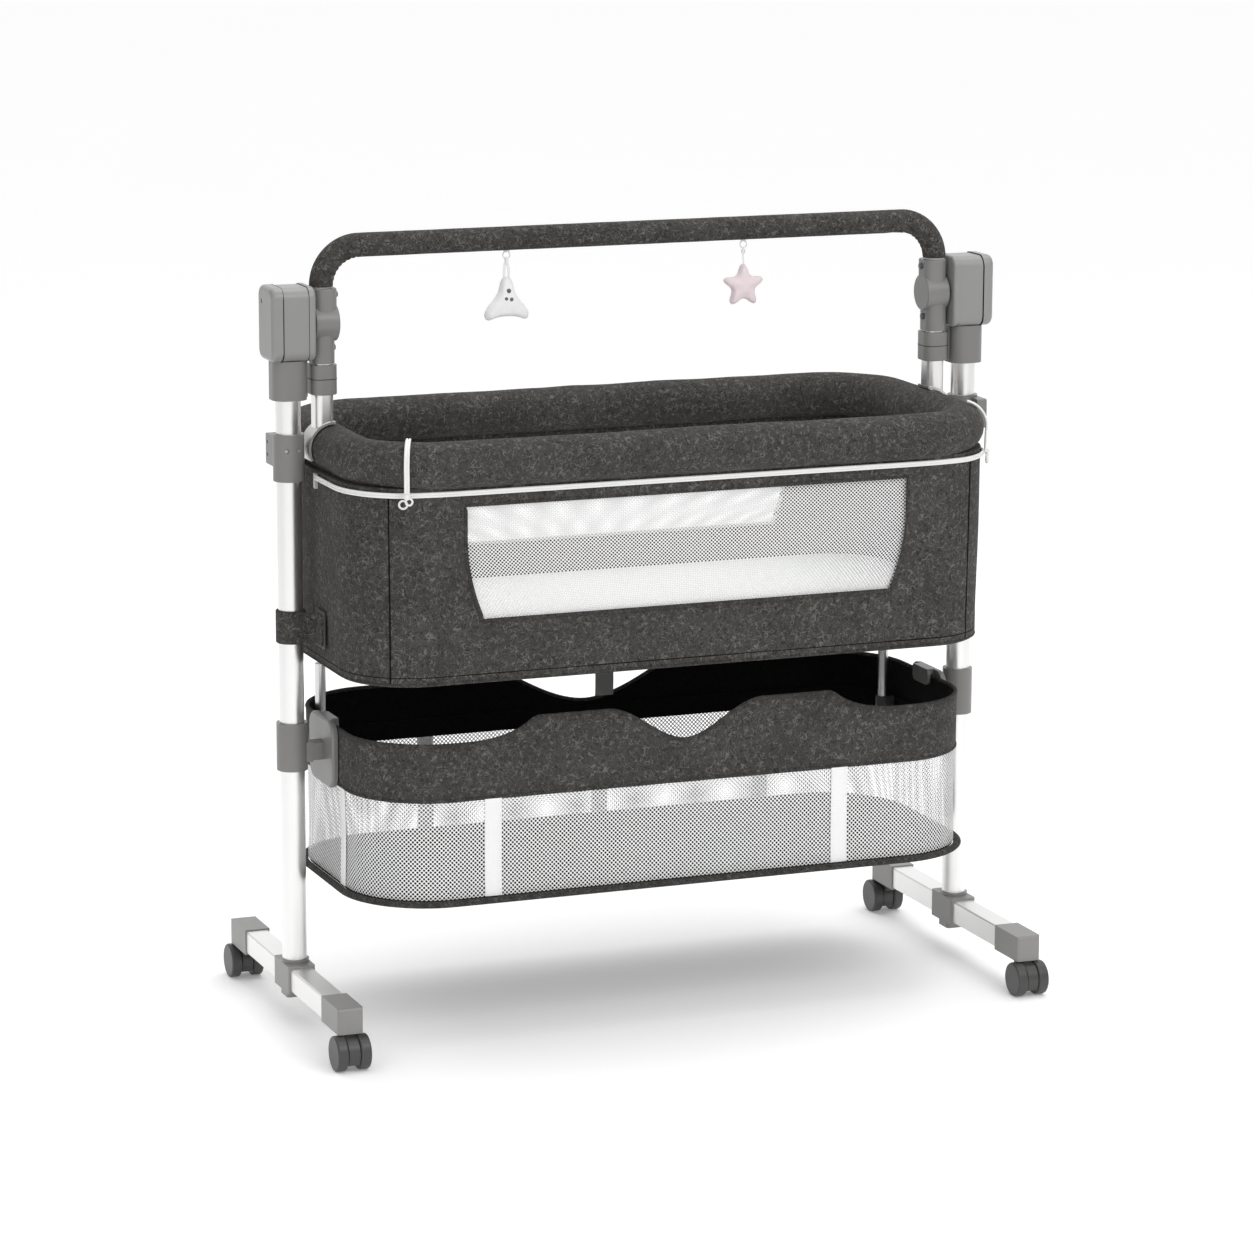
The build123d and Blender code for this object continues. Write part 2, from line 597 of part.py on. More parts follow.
def rim_bracket(side):
    """Curved saddle that carries the rim under the hanging tube."""
    inner, outer = saddle_radius(), saddle_radius() + 3.0
    ring = rod_y(0, -17, 17, 0, outer) - rod_y(0, -17, 17, 0, inner)
    wedge = make_face(Polyline(
        (0, 0), (60 * math.cos(math.radians(-26)), 60 * math.sin(math.radians(-26))),
        (75, 0), (75, 75), (0, 75), (-2, 45), close=True))
    keep = extrude(Plane.XZ * wedge, 40, both=True)
    piece = ring & keep
    if side < 0:
        piece = mirrored(piece)
    return Pos(side * RIM_A, 0, RIM_Z) * piece


def tube_along(path, outer, inner=0.0):
    """Round tube, or a solid rod, swept along a path of straights and arcs."""
    start = Plane(origin=path @ 0, z_dir=path % 0)
    section = Circle(outer) - Circle(inner) if inner else Circle(outer)
    return sweep(start * section, path=path)


def rim_ring(outer, inner=0.0):
    """Closed round tube along the rim's middle line."""
    path = Pos(0, 0, RIM_Z) * RectangleRounded(2 * RIM_A, 2 * RIM_B, RIM_CORNER).wire()
    return tube_along(path, outer, inner)


def rim_frame():
    return rim_ring(RIM_TUBE_R, RIM_TUBE_R - TUBE_WALL)


def rim_roll():
    """Padded roll round the rim tube."""
    return rim_ring(ROLL_R, RIM_TUBE_R)


def rim_screw(side, y):
    """Screw from the saddle through the roll into the rim tube."""
    seat = saddle_radius() + SCREW_SEAT
    x = side * RIM_A
    shank = rod_x(x + side * (RIM_TUBE_R - TUBE_WALL), x + side * seat, y, RIM_Z, RIM_SCREW_R)
    return shank + rod_x(x + side * seat, x + side * (seat + SCREW_HEAD), y, RIM_Z, SCREW_HEAD_R)


def roll_cutters():
    cut = None
    for _, side in ENDS:
        for y in RIM_SCREW_Y:
            one = rod_x(side * RIM_A, side * (RIM_A + 60), y, RIM_Z, RIM_SCREW_R)
            seat = RIM_A + saddle_radius() + SCREW_SEAT
            one += rod_x(side * seat, side * (RIM_A + 60), y, RIM_Z, SCREW_HEAD_R + 0.1)
            cut = one if cut is None else cut + one
    return cut


def window_plan(bottom):
    """Window outline, seen from the front: narrower at the foot."""
    with BuildSketch(Plane.XZ) as sketch:
        with BuildLine():
            Line((-WINDOW_A, WINDOW_TOP), (WINDOW_A, WINDOW_TOP))
            Line((WINDOW_A, WINDOW_TOP), (WINDOW_A - 2, bottom + 70))
            Line((WINDOW_A - 2, bottom + 70), (WINDOW_FOOT_A, bottom))
            Line((WINDOW_FOOT_A, bottom), (-WINDOW_FOOT_A, bottom))
            Line((-WINDOW_FOOT_A, bottom), (-WINDOW_A + 2, bottom + 70))
            Line((-WINDOW_A + 2, bottom + 70), (-WINDOW_A, WINDOW_TOP))
        make_face()
    return sketch.sketch


def window_block(bottom, y0, y1):
    return Pos(0, y1, 0) * extrude(window_plan(bottom), y1 - y0)


def bed_body():
    """Fabric tub below the rim, with a window in each long side."""
    outer = oval(BODY_A, BODY_B, BODY_CORNER, BODY_BOTTOM, BODY_TOP)
    inner = oval(BODY_A - BODY_WALL, BODY_B - BODY_WALL, BODY_CORNER - BODY_WALL,
                 BODY_BOTTOM + BODY_FLOOR, BODY_TOP)
    tub = outer - inner
    tub -= window_block(WINDOW_FRONT_BOTTOM, -BODY_B - 5, -BODY_B + BODY_WALL + 5)
    tub -= window_block(WINDOW_BACK_BOTTOM, BODY_B - BODY_WALL - 5, BODY_B + 5)
    return tub - rim_ring(ROLL_R) - rim_bracket_space()


def rim_bracket_space():
    """Room in the tub's upper edge for the saddles on the rim."""
    space = None
    for _, side in ENDS:
        one = rod_y(side * RIM_A, -17.5, 17.5, RIM_Z, saddle_radius() + 3.3)
        space = one if space is None else space + one
    return space


def window_net(bottom, y0):
    return window_block(bottom, y0, y0 + NET_THICKNESS)


def bed_floor_board():
    clear = BODY_WALL + 1.0
    low = BODY_BOTTOM + BODY_FLOOR
    return oval(BODY_A - clear, BODY_B - clear, BODY_CORNER - clear, low, low + BOARD_THICKNESS)


def mattress():
    clear = BODY_WALL + MATTRESS_GAP
    pad = oval(BODY_A - clear - 15, BODY_B - clear - 3, BODY_CORNER - clear, MATTRESS_BOTTOM,
               MATTRESS_BOTTOM + MATTRESS_THICKNESS)
    return fillet(pad.faces().sort_by(Axis.Z)[-1].edges() + pad.faces().sort_by(Axis.Z)[0].edges(), 8.0)


def strap_patch(side):
    """Sewn patch on the end of the bed that takes the strap's tail."""
    return box(side * BODY_A, side * (BODY_A + PATCH_THICKNESS), -52, -12, PATCH_BOTTOM, PATCH_TOP)


def hanging_strap():
    """Webbing strap that hangs below the bed."""
    x0, x1 = STRAP_INSIDE_X
    return box(x0, x1, STRAP_Y, STRAP_Y + STRAP_THICK, BODY_BOTTOM - STRAP_DROP, BODY_BOTTOM)


def rim_cord():
    """Flat double cord along the front, under the roll, between two hooks."""
    low, high = CORD_Z - CORD_H / 2, CORD_Z + CORD_H / 2
    run = oval(BODY_A + CORD_OUT, BODY_B + CORD_OUT, BODY_CORNER + CORD_OUT, low, high)
    run -= oval(BODY_A + 0.2, BODY_B + 0.2, BODY_CORNER, CORD_Z - CORD_H, CORD_Z + CORD_H)
    keep = box(-BODY_A - 10, BODY_A + 10, -BODY_B - 10, CORD_END_Y, CORD_Z - 20, CORD_Z + 20)
    return run & keep


def cord_hook(side):
    """Small hook sewn to the end of the bed that holds the cord's end."""
    x = side * BODY_A
    base = box(x, x + side * 3.6, CORD_END_Y, CORD_END_Y + 8, CORD_Z - 14, CORD_Z + 5)
    return base


def roll_tie():
    """Cord tied over the roll at the rim's left front corner, down to the cord below."""
    half = TIE_WIDTH / 2
    near, far = ROLL_R + TIE_SLACK, ROLL_R + TIE_SLACK + TIE_THICK
    ring = rod_x(-half, half, 0, 0, far) - rod_x(-half - 1, half + 1, 0, 0, near)
    front = box(-half - 1, half + 1, -2 * ROLL_R, 0, -ROLL_R * 0.3, 2 * ROLL_R)
    tail = box(-half, half, -far, -far + TIE_THICK, CORD_Z - RIM_Z - CORD_H, 0)
    tie = (ring & front) + tail
    turn = math.radians(TIE_TURN)
    x = -(RIM_A - RIM_CORNER) - RIM_CORNER * math.sin(turn)
    y = -(RIM_B - RIM_CORNER) - RIM_CORNER * math.cos(turn)
    return Pos(x, y, RIM_Z) * Rot(0, 0, -TIE_TURN) * tie


# ---- toy bar and toys -----------------------------------------------------
def bar_path(leg_bottom):
    """Upturned U: two legs, two bends and the straight run."""
    return FilletPolyline((-HUB_X, 0, leg_bottom), (-HUB_X, 0, BAR_Z), (HUB_X, 0, BAR_Z),
                          (HUB_X, 0, leg_bottom), radius=BAR_BEND)


def toy_bar_tube():
    return tube_along(bar_path(BAR_SEAT), BAR_R, BAR_R - TUBE_WALL)


def toy_bar_sleeve():
    return tube_along(bar_path(SLEEVE_BOTTOM), BAR_SLEEVE_R, BAR_R)


def toy_hanger(x):
    """Ribbon loop that hangs a toy from the bar."""
    top = BAR_Z - BAR_SLEEVE_R - TOY_CLEARANCE
    return box(x - 3.5, x + 3.5, -1.2, 1.2, TOY_TOP - 12, top)


def toy_triangle():
    """Stuffed toy with three round lobes."""
    lobes = ((0, 44, 9.0), (-24, 12, 11.0), (24, 12, 11.0))
    with BuildSketch(Plane.XZ) as sketch:
        for x, z, r in lobes:
            with Locations((x, z)):
                Circle(r)
        make_hull()
    shape = extrude(sketch.sketch, TOY_DEPTH / 2, both=True)
    shape = fillet(shape.edges().filter_by(Plane.XZ), 6.0)
    return Pos(TRIANGLE_X, 0, TOY_TOP - 53) * shape


def toy_star():
    """Stuffed star with five points."""
    outer_r, inner_r = 29.0, 15.0
    points = []
    for i in range(10):
        r = outer_r if i % 2 == 0 else inner_r
        a = math.radians(90 + 36 * i)
        points.append((r * math.cos(a), r * math.sin(a)))
    plan = make_face(Polyline(*points, close=True))
    plan = fillet(plan.vertices(), 4.0)
    shape = extrude(Plane.XZ * plan, TOY_DEPTH / 2, both=True)
    return Pos(STAR_X, 0, TOY_TOP - 27.5) * shape


# ---- casters --------------------------------------------------------------
def caster_place(side, end):
    x = side * POST_X
    stem_y = end * (FOOT_B - CASTER_INSET)
    return x, stem_y, stem_y + end * CASTER_TRAIL


def caster_hood(side, end):
    """Body between the two wheels, with the swivel stem and the axle."""
    x, stem_y, wheel_y = caster_place(side, end)
    half = HOOD_WIDTH / 2
    hood = rod_x(x - half, x + half, wheel_y, WHEEL_Z, WHEEL_R - 2.5)
    hood -= box(x - 20, x + 20, wheel_y - 40, wheel_y + 40, -5, 9)
    low_y, high_y = min(stem_y, wheel_y), max(stem_y, wheel_y)
    bridge = box(x - half, x + half, low_y - 3, high_y, 34, CAP_BOTTOM - 2.5)
    if end < 0:
        bridge = box(x - half, x + half, low_y, high_y + 3, 34, CAP_BOTTOM - 2.5)
    disc = rod_z(x, stem_y, 36, CAP_BOTTOM - 0.6, half)
    stem = rod_z(x, stem_y, 36, FOOT_TUBE_BOTTOM + TUBE_WALL + 8, STEM_R)
    clip = rod_z(x, stem_y, FOOT_TUBE_BOTTOM + TUBE_WALL + 1, FOOT_TUBE_BOTTOM + TUBE_WALL + 4, STEM_R + 2)
    body = hood + bridge + disc + stem + clip
    return body - rod_x(x - 30, x + 30, wheel_y, WHEEL_Z, AXLE_R + SHAFT_CLEARANCE)


def caster_wheels(side, end):
    """Two wheels on one axle."""
    x, _, wheel_y = caster_place(side, end)
    near = HOOD_WIDTH / 2 + WHEEL_GAP
    far = near + WHEEL_WIDTH
    solid = rod_x(x - far + 3, x + far - 3, wheel_y, WHEEL_Z, AXLE_R)
    for way in (-1, 1):
        wheel = rod_x(x + way * near, x + way * far, wheel_y, WHEEL_Z, WHEEL_R)
        wheel = fillet(wheel.edges().filter_by(GeomType.CIRCLE), 2.5)
        solid += wheel
    return solid


# ---- write the nodes ------------------------------------------------------
def write_stand():
    save("foot_tubes", *[foot_tube_with_sockets(s) for _, s in ENDS])
    save("foot_end_caps", *[foot_cap(s, e) for _, s in ENDS for e in (-1, 1)])
    save("foot_saddles", *[foot_saddle(s) for _, s in ENDS])
    save("posts", *[post(s) for _, s in ENDS])
    save("box_bodies", *[box_body(s) for _, s in ENDS])
    save("post_brackets", *[post_bracket(s) for _, s in ENDS])
    save("basket_brackets", *[basket_bracket(s) for _, s in ENDS])
    save("post_collars", *[post_collar(s) for _, s in ENDS])
    save("box_outer_covers", *[outer_cover(s) for _, s in ENDS])
    save("box_inner_covers", *[inner_cover(s) for _, s in ENDS])
    save("shaft_bearings", *[shaft_bearing(s) for _, s in ENDS])
    save("drive_coil", drive_coil())
    save("control_board", control_board())
    save("cover_screws", *[cover_screw(s) for _, s in ENDS])
    save("bracket_screws", *[bracket_screw(s, dx) for _, s in ENDS for dx in BRACKET_SCREW_DX])
    save("basket_clamps", *[basket_clamp(s) for _, s in ENDS])
    save("post_straps", *[post_strap(s) for _, s in ENDS])


def write_basket():
    save("basket_band", basket_band())
    save("basket_frame", basket_frame())
    save("basket_net", basket_net())
    save("basket_floor", basket_floor())
    save("basket_piping", basket_piping())
    save("basket_webbing", *basket_webbing())
    save("stop_rods", *[stop_rod(s) for _, s in ENDS])
    save("stop_rod_clips", *[stop_rod_clip(s) for _, s in ENDS])


def write_cradle():
    for name, side in ENDS:
        save("pivot_hub_" + name, pivot_hub(side))
    save("pivot_shafts", *[pivot_shaft(s) for _, s in ENDS])
    save("swing_tubes", *[swing_tube(s) for _, s in ENDS])
    save("tube_collars", *[tube_collar(s) for _, s in ENDS])
    save("rim_brackets", *[rim_bracket(s) - roll_cutters() for _, s in ENDS])
    save("rim_screws", *[rim_screw(s, y) for _, s in ENDS for y in RIM_SCREW_Y])
    save("rim_frame", rim_frame() - roll_cutters())
    save("rim_roll", rim_roll() - roll_cutters())
    save("bed_body", bed_body())
    save("window_nets", window_net(WINDOW_FRONT_BOTTOM, -BODY_B + NET_INSET),
         window_net(WINDOW_BACK_BOTTOM, BODY_B - NET_INSET - NET_THICKNESS))
    save("bed_floor_board", bed_floor_board())
    save("magnet_arm", magnet_arm())
    save("strap_patches", *[strap_patch(s) for _, s in ENDS])
    save("hanging_strap", hanging_strap())
    save("rim_cord", rim_cord())
    save("cord_hooks", *[cord_hook(s) for _, s in ENDS])
    save("roll_tie", roll_tie())
    save("mattress", mattress())


def write_toy_bar():
    save("toy_bar_tube", toy_bar_tube())
    save("toy_bar_sleeve", toy_bar_sleeve())
    save("toy_triangle", toy_triangle() + toy_hanger(TRIANGLE_X))
    save("toy_star", toy_star() + toy_hanger(STAR_X))


def write_moving_parts():
    for name, side in ENDS:
        save("bar_button_" + name, push_button(side, BUTTON_PLACES[0]))
        save("tube_button_" + name, push_button(side, BUTTON_PLACES[1]))
        for end_name, end in (("front", -1), ("rear", 1)):
            tag = end_name + "_" + name
            save("caster_hood_" + tag, caster_hood(side, end))
            save("caster_wheels_" + tag, caster_wheels(side, end))


write_stand()
write_basket()
write_cradle()
write_toy_bar()
write_moving_parts()
print(len(written), "nodes")
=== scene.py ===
# %% [markdown]
# A rocking bassinet: a padded bed hangs between two posts on wheeled feet, with a net basket below
# it and a fabric-covered bar with two toys above it. The hard parts arrive as a fixed frame. They
# keep their shapes and get their finishes here. Everything sewn or stuffed is made new, in place:
# a cloth part could be drawn over its solid as one more copy, but a fresh mesh can sag, crease and
# carry a weave, and the solid stays behind it for collision. Lengths are in metres.

# %% Load the frame
import math

import bpy
from mathutils import Matrix, Vector, noise


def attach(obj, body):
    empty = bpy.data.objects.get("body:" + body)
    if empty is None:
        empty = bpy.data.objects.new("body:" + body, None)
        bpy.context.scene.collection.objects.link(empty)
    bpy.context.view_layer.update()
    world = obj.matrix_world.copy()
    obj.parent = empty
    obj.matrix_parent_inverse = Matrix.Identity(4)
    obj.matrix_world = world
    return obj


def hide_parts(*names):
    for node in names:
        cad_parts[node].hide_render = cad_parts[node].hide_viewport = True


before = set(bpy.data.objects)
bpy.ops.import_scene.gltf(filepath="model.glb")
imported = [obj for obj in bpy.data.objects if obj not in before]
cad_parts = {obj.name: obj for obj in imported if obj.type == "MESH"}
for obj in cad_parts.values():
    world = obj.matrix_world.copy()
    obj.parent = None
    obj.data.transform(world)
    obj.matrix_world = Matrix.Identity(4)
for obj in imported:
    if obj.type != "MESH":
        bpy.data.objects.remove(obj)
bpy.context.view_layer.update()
bpy.ops.object.select_all(action="DESELECT")
MM = 0.001

# %% [markdown]
# The view is from a little above the rim and well to the left of the front, so that the left end
# and the long side both show. A short lens close by would make the posts lean apart. A long lens
# further off keeps them almost parallel, so this one is long.

# %% Camera
camera_place = Vector((-2.1888, -5.5195, 1.7167))
camera_aim = Vector((-0.4889, -1.2133, 0.7573))
camera_data = bpy.data.cameras.new("camera")
LENS = 132.84
CAMERA_ROLL = 0.18
camera_data.lens = LENS
camera_data.sensor_width = 36.0
camera_data.clip_end = 60.0
camera = bpy.data.objects.new("camera", camera_data)
bpy.context.scene.collection.objects.link(camera)
look = (camera_aim - camera_place).to_track_quat("-Z", "Y").to_matrix()
tilt = Matrix.Rotation(math.radians(CAMERA_ROLL), 3, "Z")
camera.matrix_world = Matrix.Translation(camera_place) @ (look @ tilt).to_4x4()
bpy.context.scene.camera = camera
print("camera", [round(v, 2) for v in camera_place], "lens", LENS)

# %% [markdown]
# Finishes are node graphs. Each sum in one could be typed as a Math node with two links, but a
# long graph is hard to read that way. Wire wraps an output socket instead, so that shader maths
# reads as ordinary arithmetic, and every plus, minus or times adds its own Math node.

# %% Shader arithmetic
class Wire:
    """An output socket that can be used in arithmetic."""

    def __init__(self, graph, socket):
        self.graph = graph
        self.socket = socket

    def math(self, operation, other=0.0, flip=False):
        first, second = (other, self) if flip else (self, other)
        return self.graph.add("ShaderNodeMath", {"operation": operation}, {0: first, 1: second})

    def __add__(self, other):
        return self.math("ADD", other)

    def __sub__(self, other):
        return self.math("SUBTRACT", other)

    def __rsub__(self, other):
        return self.math("SUBTRACT", other, flip=True)

    def __mul__(self, other):
        return self.math("MULTIPLY", other)

    __radd__ = __add__
    __rmul__ = __mul__


print("shader arithmetic: + - *")

# %% [markdown]
# Every finish ends in one Principled shader. Values that are the same all over go straight on its
# sockets. What changes over a surface is built from noises and ramps and fed to colour, roughness,
# alpha or bump. Graph holds the few kinds of node that come up again and again.

# %% Material graph
class Graph:
    """A material with one Principled shader, and short ways to feed it."""

    def __init__(self, name, **values):
        self.material = bpy.data.materials.new(name)
        self.material.use_nodes = True
        self.tree = self.material.node_tree
        self.shader = self.tree.nodes["Principled BSDF"]
        self.place = Wire(self, self.tree.nodes.new("ShaderNodeTexCoord").outputs["Object"])
        for key, value in values.items():
            self.shader.inputs[key.replace("_", " ")].default_value = value

    def add(self, kind, settings=None, inputs=None, out=0):
        node = self.tree.nodes.new(kind)
        for key, value in (settings or {}).items():
            setattr(node, key, value)
        for key, value in (inputs or {}).items():
            if isinstance(value, Wire):
                self.tree.links.new(value.socket, node.inputs[key])
            else:
                node.inputs[key].default_value = value
        return Wire(self, node.outputs[out])

    def feed(self, key, wire):
        self.tree.links.new(wire.socket, self.shader.inputs[key])

    def scaled(self, x, y, z, source=None):
        return self.add("ShaderNodeVectorMath", {"operation": "MULTIPLY"},
                        {0: source or self.place, 1: (x, y, z)})

    def noise(self, vector, detail=2.0, roughness=0.5, scale=1.0):
        return self.add("ShaderNodeTexNoise", None,
                        {"Vector": vector, "Scale": scale, "Detail": detail,
                         "Roughness": roughness})

    def ramp(self, value, low, high):
        """0 below low, 1 above high, smooth between."""
        return self.add("ShaderNodeMapRange", {"interpolation_type": "SMOOTHSTEP"},
                        {"Value": value, "From Min": low, "From Max": high})

    def mix(self, share, first, second):
        """Colour mixed from first to second."""
        keys = {"Factor": share, 6: first, 7: second}
        return self.add("ShaderNodeMix", {"data_type": "RGBA"}, keys, out=2)

    def bump(self, height, strength, distance):
        self.feed("Normal", self.add("ShaderNodeBump", None,
                                     {"Height": height, "Strength": strength,
                                      "Distance": distance}))


def colour(red, green, blue):
    return (red, green, blue, 1.0)


def shaded(tone, share):
    """The tone made darker or lighter all over."""
    return colour(*[part * share for part in tone])


print("material graph ready")

# %% [markdown]
# The covering fabric is a dark heather: short curling fibres, lighter and darker than the charcoal
# ground, lie in every direction. A woven pattern on a UV map would show threads, which this cloth
# hides. A noise close to its middle value makes a thin curling line instead, and a second noise
# breaks the line into strokes. It works on a wall of any direction without a UV map.

# %% Heather fabric
def strokes(graph, scale, seed, width=0.036, twist=0.6):
    """Thin curling strokes about a millimetre wide."""
    moved = graph.add("ShaderNodeVectorMath", {"operation": "ADD"},
                      {0: graph.place, 1: (seed, 0.7 * seed, 0.4 * seed)})
    wave = graph.add("ShaderNodeTexNoise", None,
                     {"Vector": moved, "Scale": scale, "Detail": 1.0, "Roughness": 0.4,
                      "Distortion": twist})
    middle = (wave - 0.5).math("ABSOLUTE")
    line = 1.0 - graph.ramp(middle, width * 0.3, width)
    return line * graph.ramp(graph.noise(moved, detail=0.0, scale=scale * 0.9), 0.44, 0.56)


def heather(name, ground, light, deep, warm=0.0):
    graph = Graph(name, Roughness=0.95, Sheen_Weight=0.04, Sheen_Roughness=0.5,
                  Specular_IOR_Level=0.12)
    fine = graph.noise(graph.place, detail=2.0, scale=520.0)
    cloudy = graph.noise(graph.place, detail=2.0, scale=16.0)
    bright = strokes(graph, 125.0, 3.1).math("MAXIMUM", strokes(graph, 165.0, 7.7) * 0.8)
    dark = strokes(graph, 135.0, 11.3).math("MAXIMUM", strokes(graph, 180.0, 17.9))
    base = graph.mix(graph.ramp(fine * 0.7 + cloudy * 0.3, 0.36, 0.64), shaded(ground, 0.74),
                     colour(ground[0] * 1.22, ground[1] * 1.21, ground[2] * (1.2 - warm)))
    base = graph.mix(dark * 0.75, base, colour(*deep))
    base = graph.mix(bright * (0.35 + cloudy * 0.5), base, colour(*light))
    graph.feed("Base Color", base)
    graph.bump(bright * 0.7 - dark * 0.4 + fine * 0.5, 0.5, 0.0007)
    return graph.material


fabric = heather("heather_fabric", (0.054, 0.0512, 0.0478), (0.175, 0.169, 0.161),
                 (0.018, 0.017, 0.016))
piping_cloth = heather("piping_fabric", (0.045, 0.043, 0.041), (0.12, 0.116, 0.11),
                       (0.016, 0.015, 0.014))
lining = heather("black_lining", (0.0045, 0.0044, 0.0043), (0.009, 0.009, 0.009),
                 (0.002, 0.002, 0.002))
print("fabrics", fabric.name, piping_cloth.name, lining.name)

# %% [markdown]
# Net is a white knit with rows of small round holes. The holes could be cut in the mesh, but there
# are thousands of them. A real hole lets light through, so a pattern drives Alpha instead: the
# distance to the nearest point of two grids, one set between the other. It runs on a UV map that
# is in metres, so it turns corners with the cloth.

# %% Net
def net(name, pitch, hole, tone):
    graph = Graph(name, Roughness=0.75, Sheen_Weight=0.1)
    uv = graph.add("ShaderNodeUVMap", {"uv_map": "cloth"})
    cell = graph.scaled(1.0 / pitch, 1.0 / pitch, 0.0, source=uv)
    far = None
    for offset in (0.0, 0.5):
        moved = graph.add("ShaderNodeVectorMath", {"operation": "ADD"},
                          {0: cell, 1: (offset, offset, 0.0)})
        part = graph.add("ShaderNodeVectorMath", {"operation": "FRACTION"}, {0: moved})
        middle = graph.add("ShaderNodeVectorMath", {"operation": "SUBTRACT"},
                           {0: part, 1: (0.5, 0.5, 0.0)})
        away = graph.add("ShaderNodeVectorMath", {"operation": "LENGTH"}, {0: middle}, out=1)
        far = away if far is None else far.math("MINIMUM", away)
    graph.feed("Alpha", graph.ramp(far, hole - 0.04, hole + 0.04))
    edge = graph.ramp(far, hole, hole + 0.2)
    graph.feed("Base Color", graph.mix(edge, shaded(tone, 0.82), colour(*tone)))
    graph.bump(edge, 0.5, 0.0004)
    return graph.material


HOLE = 0.262
window_net_cloth = net("window_net", 4.7 * MM, HOLE, (0.92, 0.92, 0.92))
basket_net_cloth = net("basket_net", 5.6 * MM, HOLE, (0.90, 0.90, 0.90))
print("nets", window_net_cloth.name, basket_net_cloth.name)

# %% [markdown]
# The hard finishes are moulded grey plastic with a fine grain, darker plastic on the casters,
# drawn aluminium with faint lines along the tube, and small amounts of steel, copper and board.
# One plain colour each would look like clay, so each has a slow change of tone, a slow change of
# gloss and a fine grain. The drawing lines come from a noise that is stretched along the tube.

# %% Hard finishes
def moulded(name, tone, grain=2200.0, roughness=0.34, depth=0.00004):
    graph = Graph(name, Specular_IOR_Level=0.5)
    cloudy = graph.noise(graph.place, detail=3.0, scale=22.0)
    fine = graph.noise(graph.place, detail=1.0, scale=grain)
    graph.feed("Base Color", graph.mix(cloudy, shaded(tone, 0.94), shaded(tone, 1.05)))
    graph.feed("Roughness", roughness - 0.05 + cloudy * 0.1)
    graph.bump(fine, 0.35, depth)
    return graph.material


def drawn(name, tone, along, roughness=0.3, lines=900.0):
    """Bare metal with drawing lines along one axis."""
    graph = Graph(name, Metallic=1.0)
    scale = [lines] * 3
    scale[along] = 5.0
    line = graph.noise(graph.scaled(*scale), detail=2.0)
    cloudy = graph.noise(graph.place, detail=2.0, scale=16.0)
    graph.feed("Base Color", graph.mix(line, shaded(tone, 0.95), colour(*tone)))
    graph.feed("Roughness", roughness - 0.06 + cloudy * 0.06 + line * 0.08)
    graph.bump(line, 0.12, 0.00004)
    return graph.material


grey_plastic = moulded("grey_plastic", (0.190, 0.187, 0.183))
foot_plastic = moulded("foot_plastic", (0.240, 0.236, 0.231))
box_plastic = moulded("box_plastic", (0.250, 0.248, 0.245))
hook_plastic = moulded("hook_plastic", (0.46, 0.455, 0.45))
caster_plastic = moulded("caster_plastic", (0.052, 0.051, 0.050), roughness=0.38)
button_plastic = moulded("button_plastic", (0.075, 0.075, 0.078), roughness=0.35)
post_metal = drawn("post_aluminium", (0.86, 0.855, 0.85), along=2, roughness=0.32)
foot_metal = drawn("foot_aluminium", (0.90, 0.895, 0.89), along=1, roughness=0.42)
rod_metal = drawn("rod_aluminium", (0.72, 0.715, 0.71), along=2, roughness=0.3)
steel = drawn("steel", (0.55, 0.55, 0.56), along=1, roughness=0.28, lines=2500.0)
bracket_metal = drawn("bracket_metal", (0.62, 0.61, 0.60), along=1, roughness=0.38)
copper = drawn("coil_copper", (0.80, 0.42, 0.22), along=0, roughness=0.3, lines=3000.0)
board_green = moulded("circuit_board", (0.03, 0.16, 0.07), roughness=0.4)
board_grey = moulded("floor_board", (0.22, 0.21, 0.20), roughness=0.7)
print("hard finishes made")

# %% [markdown]
# The frame's own parts keep their meshes, since their shapes are already right. They could be
# traced over with new ones, but a new finish in the material slot is enough. The list says which
# part wears what, and every part of a caster is the same dark plastic.

# %% Finishes of the frame's own parts
WEAR = {
    "foot_tubes": foot_metal, "foot_end_caps": foot_plastic, "foot_saddles": foot_plastic,
    "posts": post_metal, "post_collars": grey_plastic, "box_bodies": box_plastic,
    "box_outer_covers": box_plastic, "box_inner_covers": box_plastic, "shaft_bearings": steel,
    "drive_coil": copper, "control_board": board_green, "cover_screws": steel,
    "post_brackets": grey_plastic, "bracket_screws": steel, "basket_clamps": grey_plastic,
    "basket_brackets": grey_plastic, "basket_frame": lining, "stop_rods": rod_metal,
    "stop_rod_clips": caster_plastic, "pivot_hub_left": grey_plastic,
    "pivot_hub_right": grey_plastic, "pivot_shafts": steel, "swing_tubes": post_metal,
    "tube_collars": grey_plastic, "rim_brackets": bracket_metal, "rim_screws": steel,
    "rim_frame": steel, "bed_floor_board": board_grey, "magnet_arm": steel,
    "toy_bar_tube": rod_metal, "cord_hooks": hook_plastic,
    "bar_button_left": button_plastic, "bar_button_right": button_plastic,
    "tube_button_left": button_plastic, "tube_button_right": button_plastic,
}


def finish_node(name, material):
    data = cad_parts[name].data
    data.materials.clear()
    data.materials.append(material)


for node_name, node_finish in WEAR.items():
    finish_node(node_name, node_finish)
for node_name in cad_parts:
    if node_name.startswith("caster_"):
        finish_node(node_name, caster_plastic)
print("finished parts of the frame", len(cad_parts))

# %% [markdown]
# Sewn parts mostly follow a line: the rim, the wall of the tub, a strap. They could be curves with
# a bevel, but then a ring could not change on its way along. Here such a part is a row of rings
# joined by quads. The helper also writes a UV map in metres, along the line and round the ring.

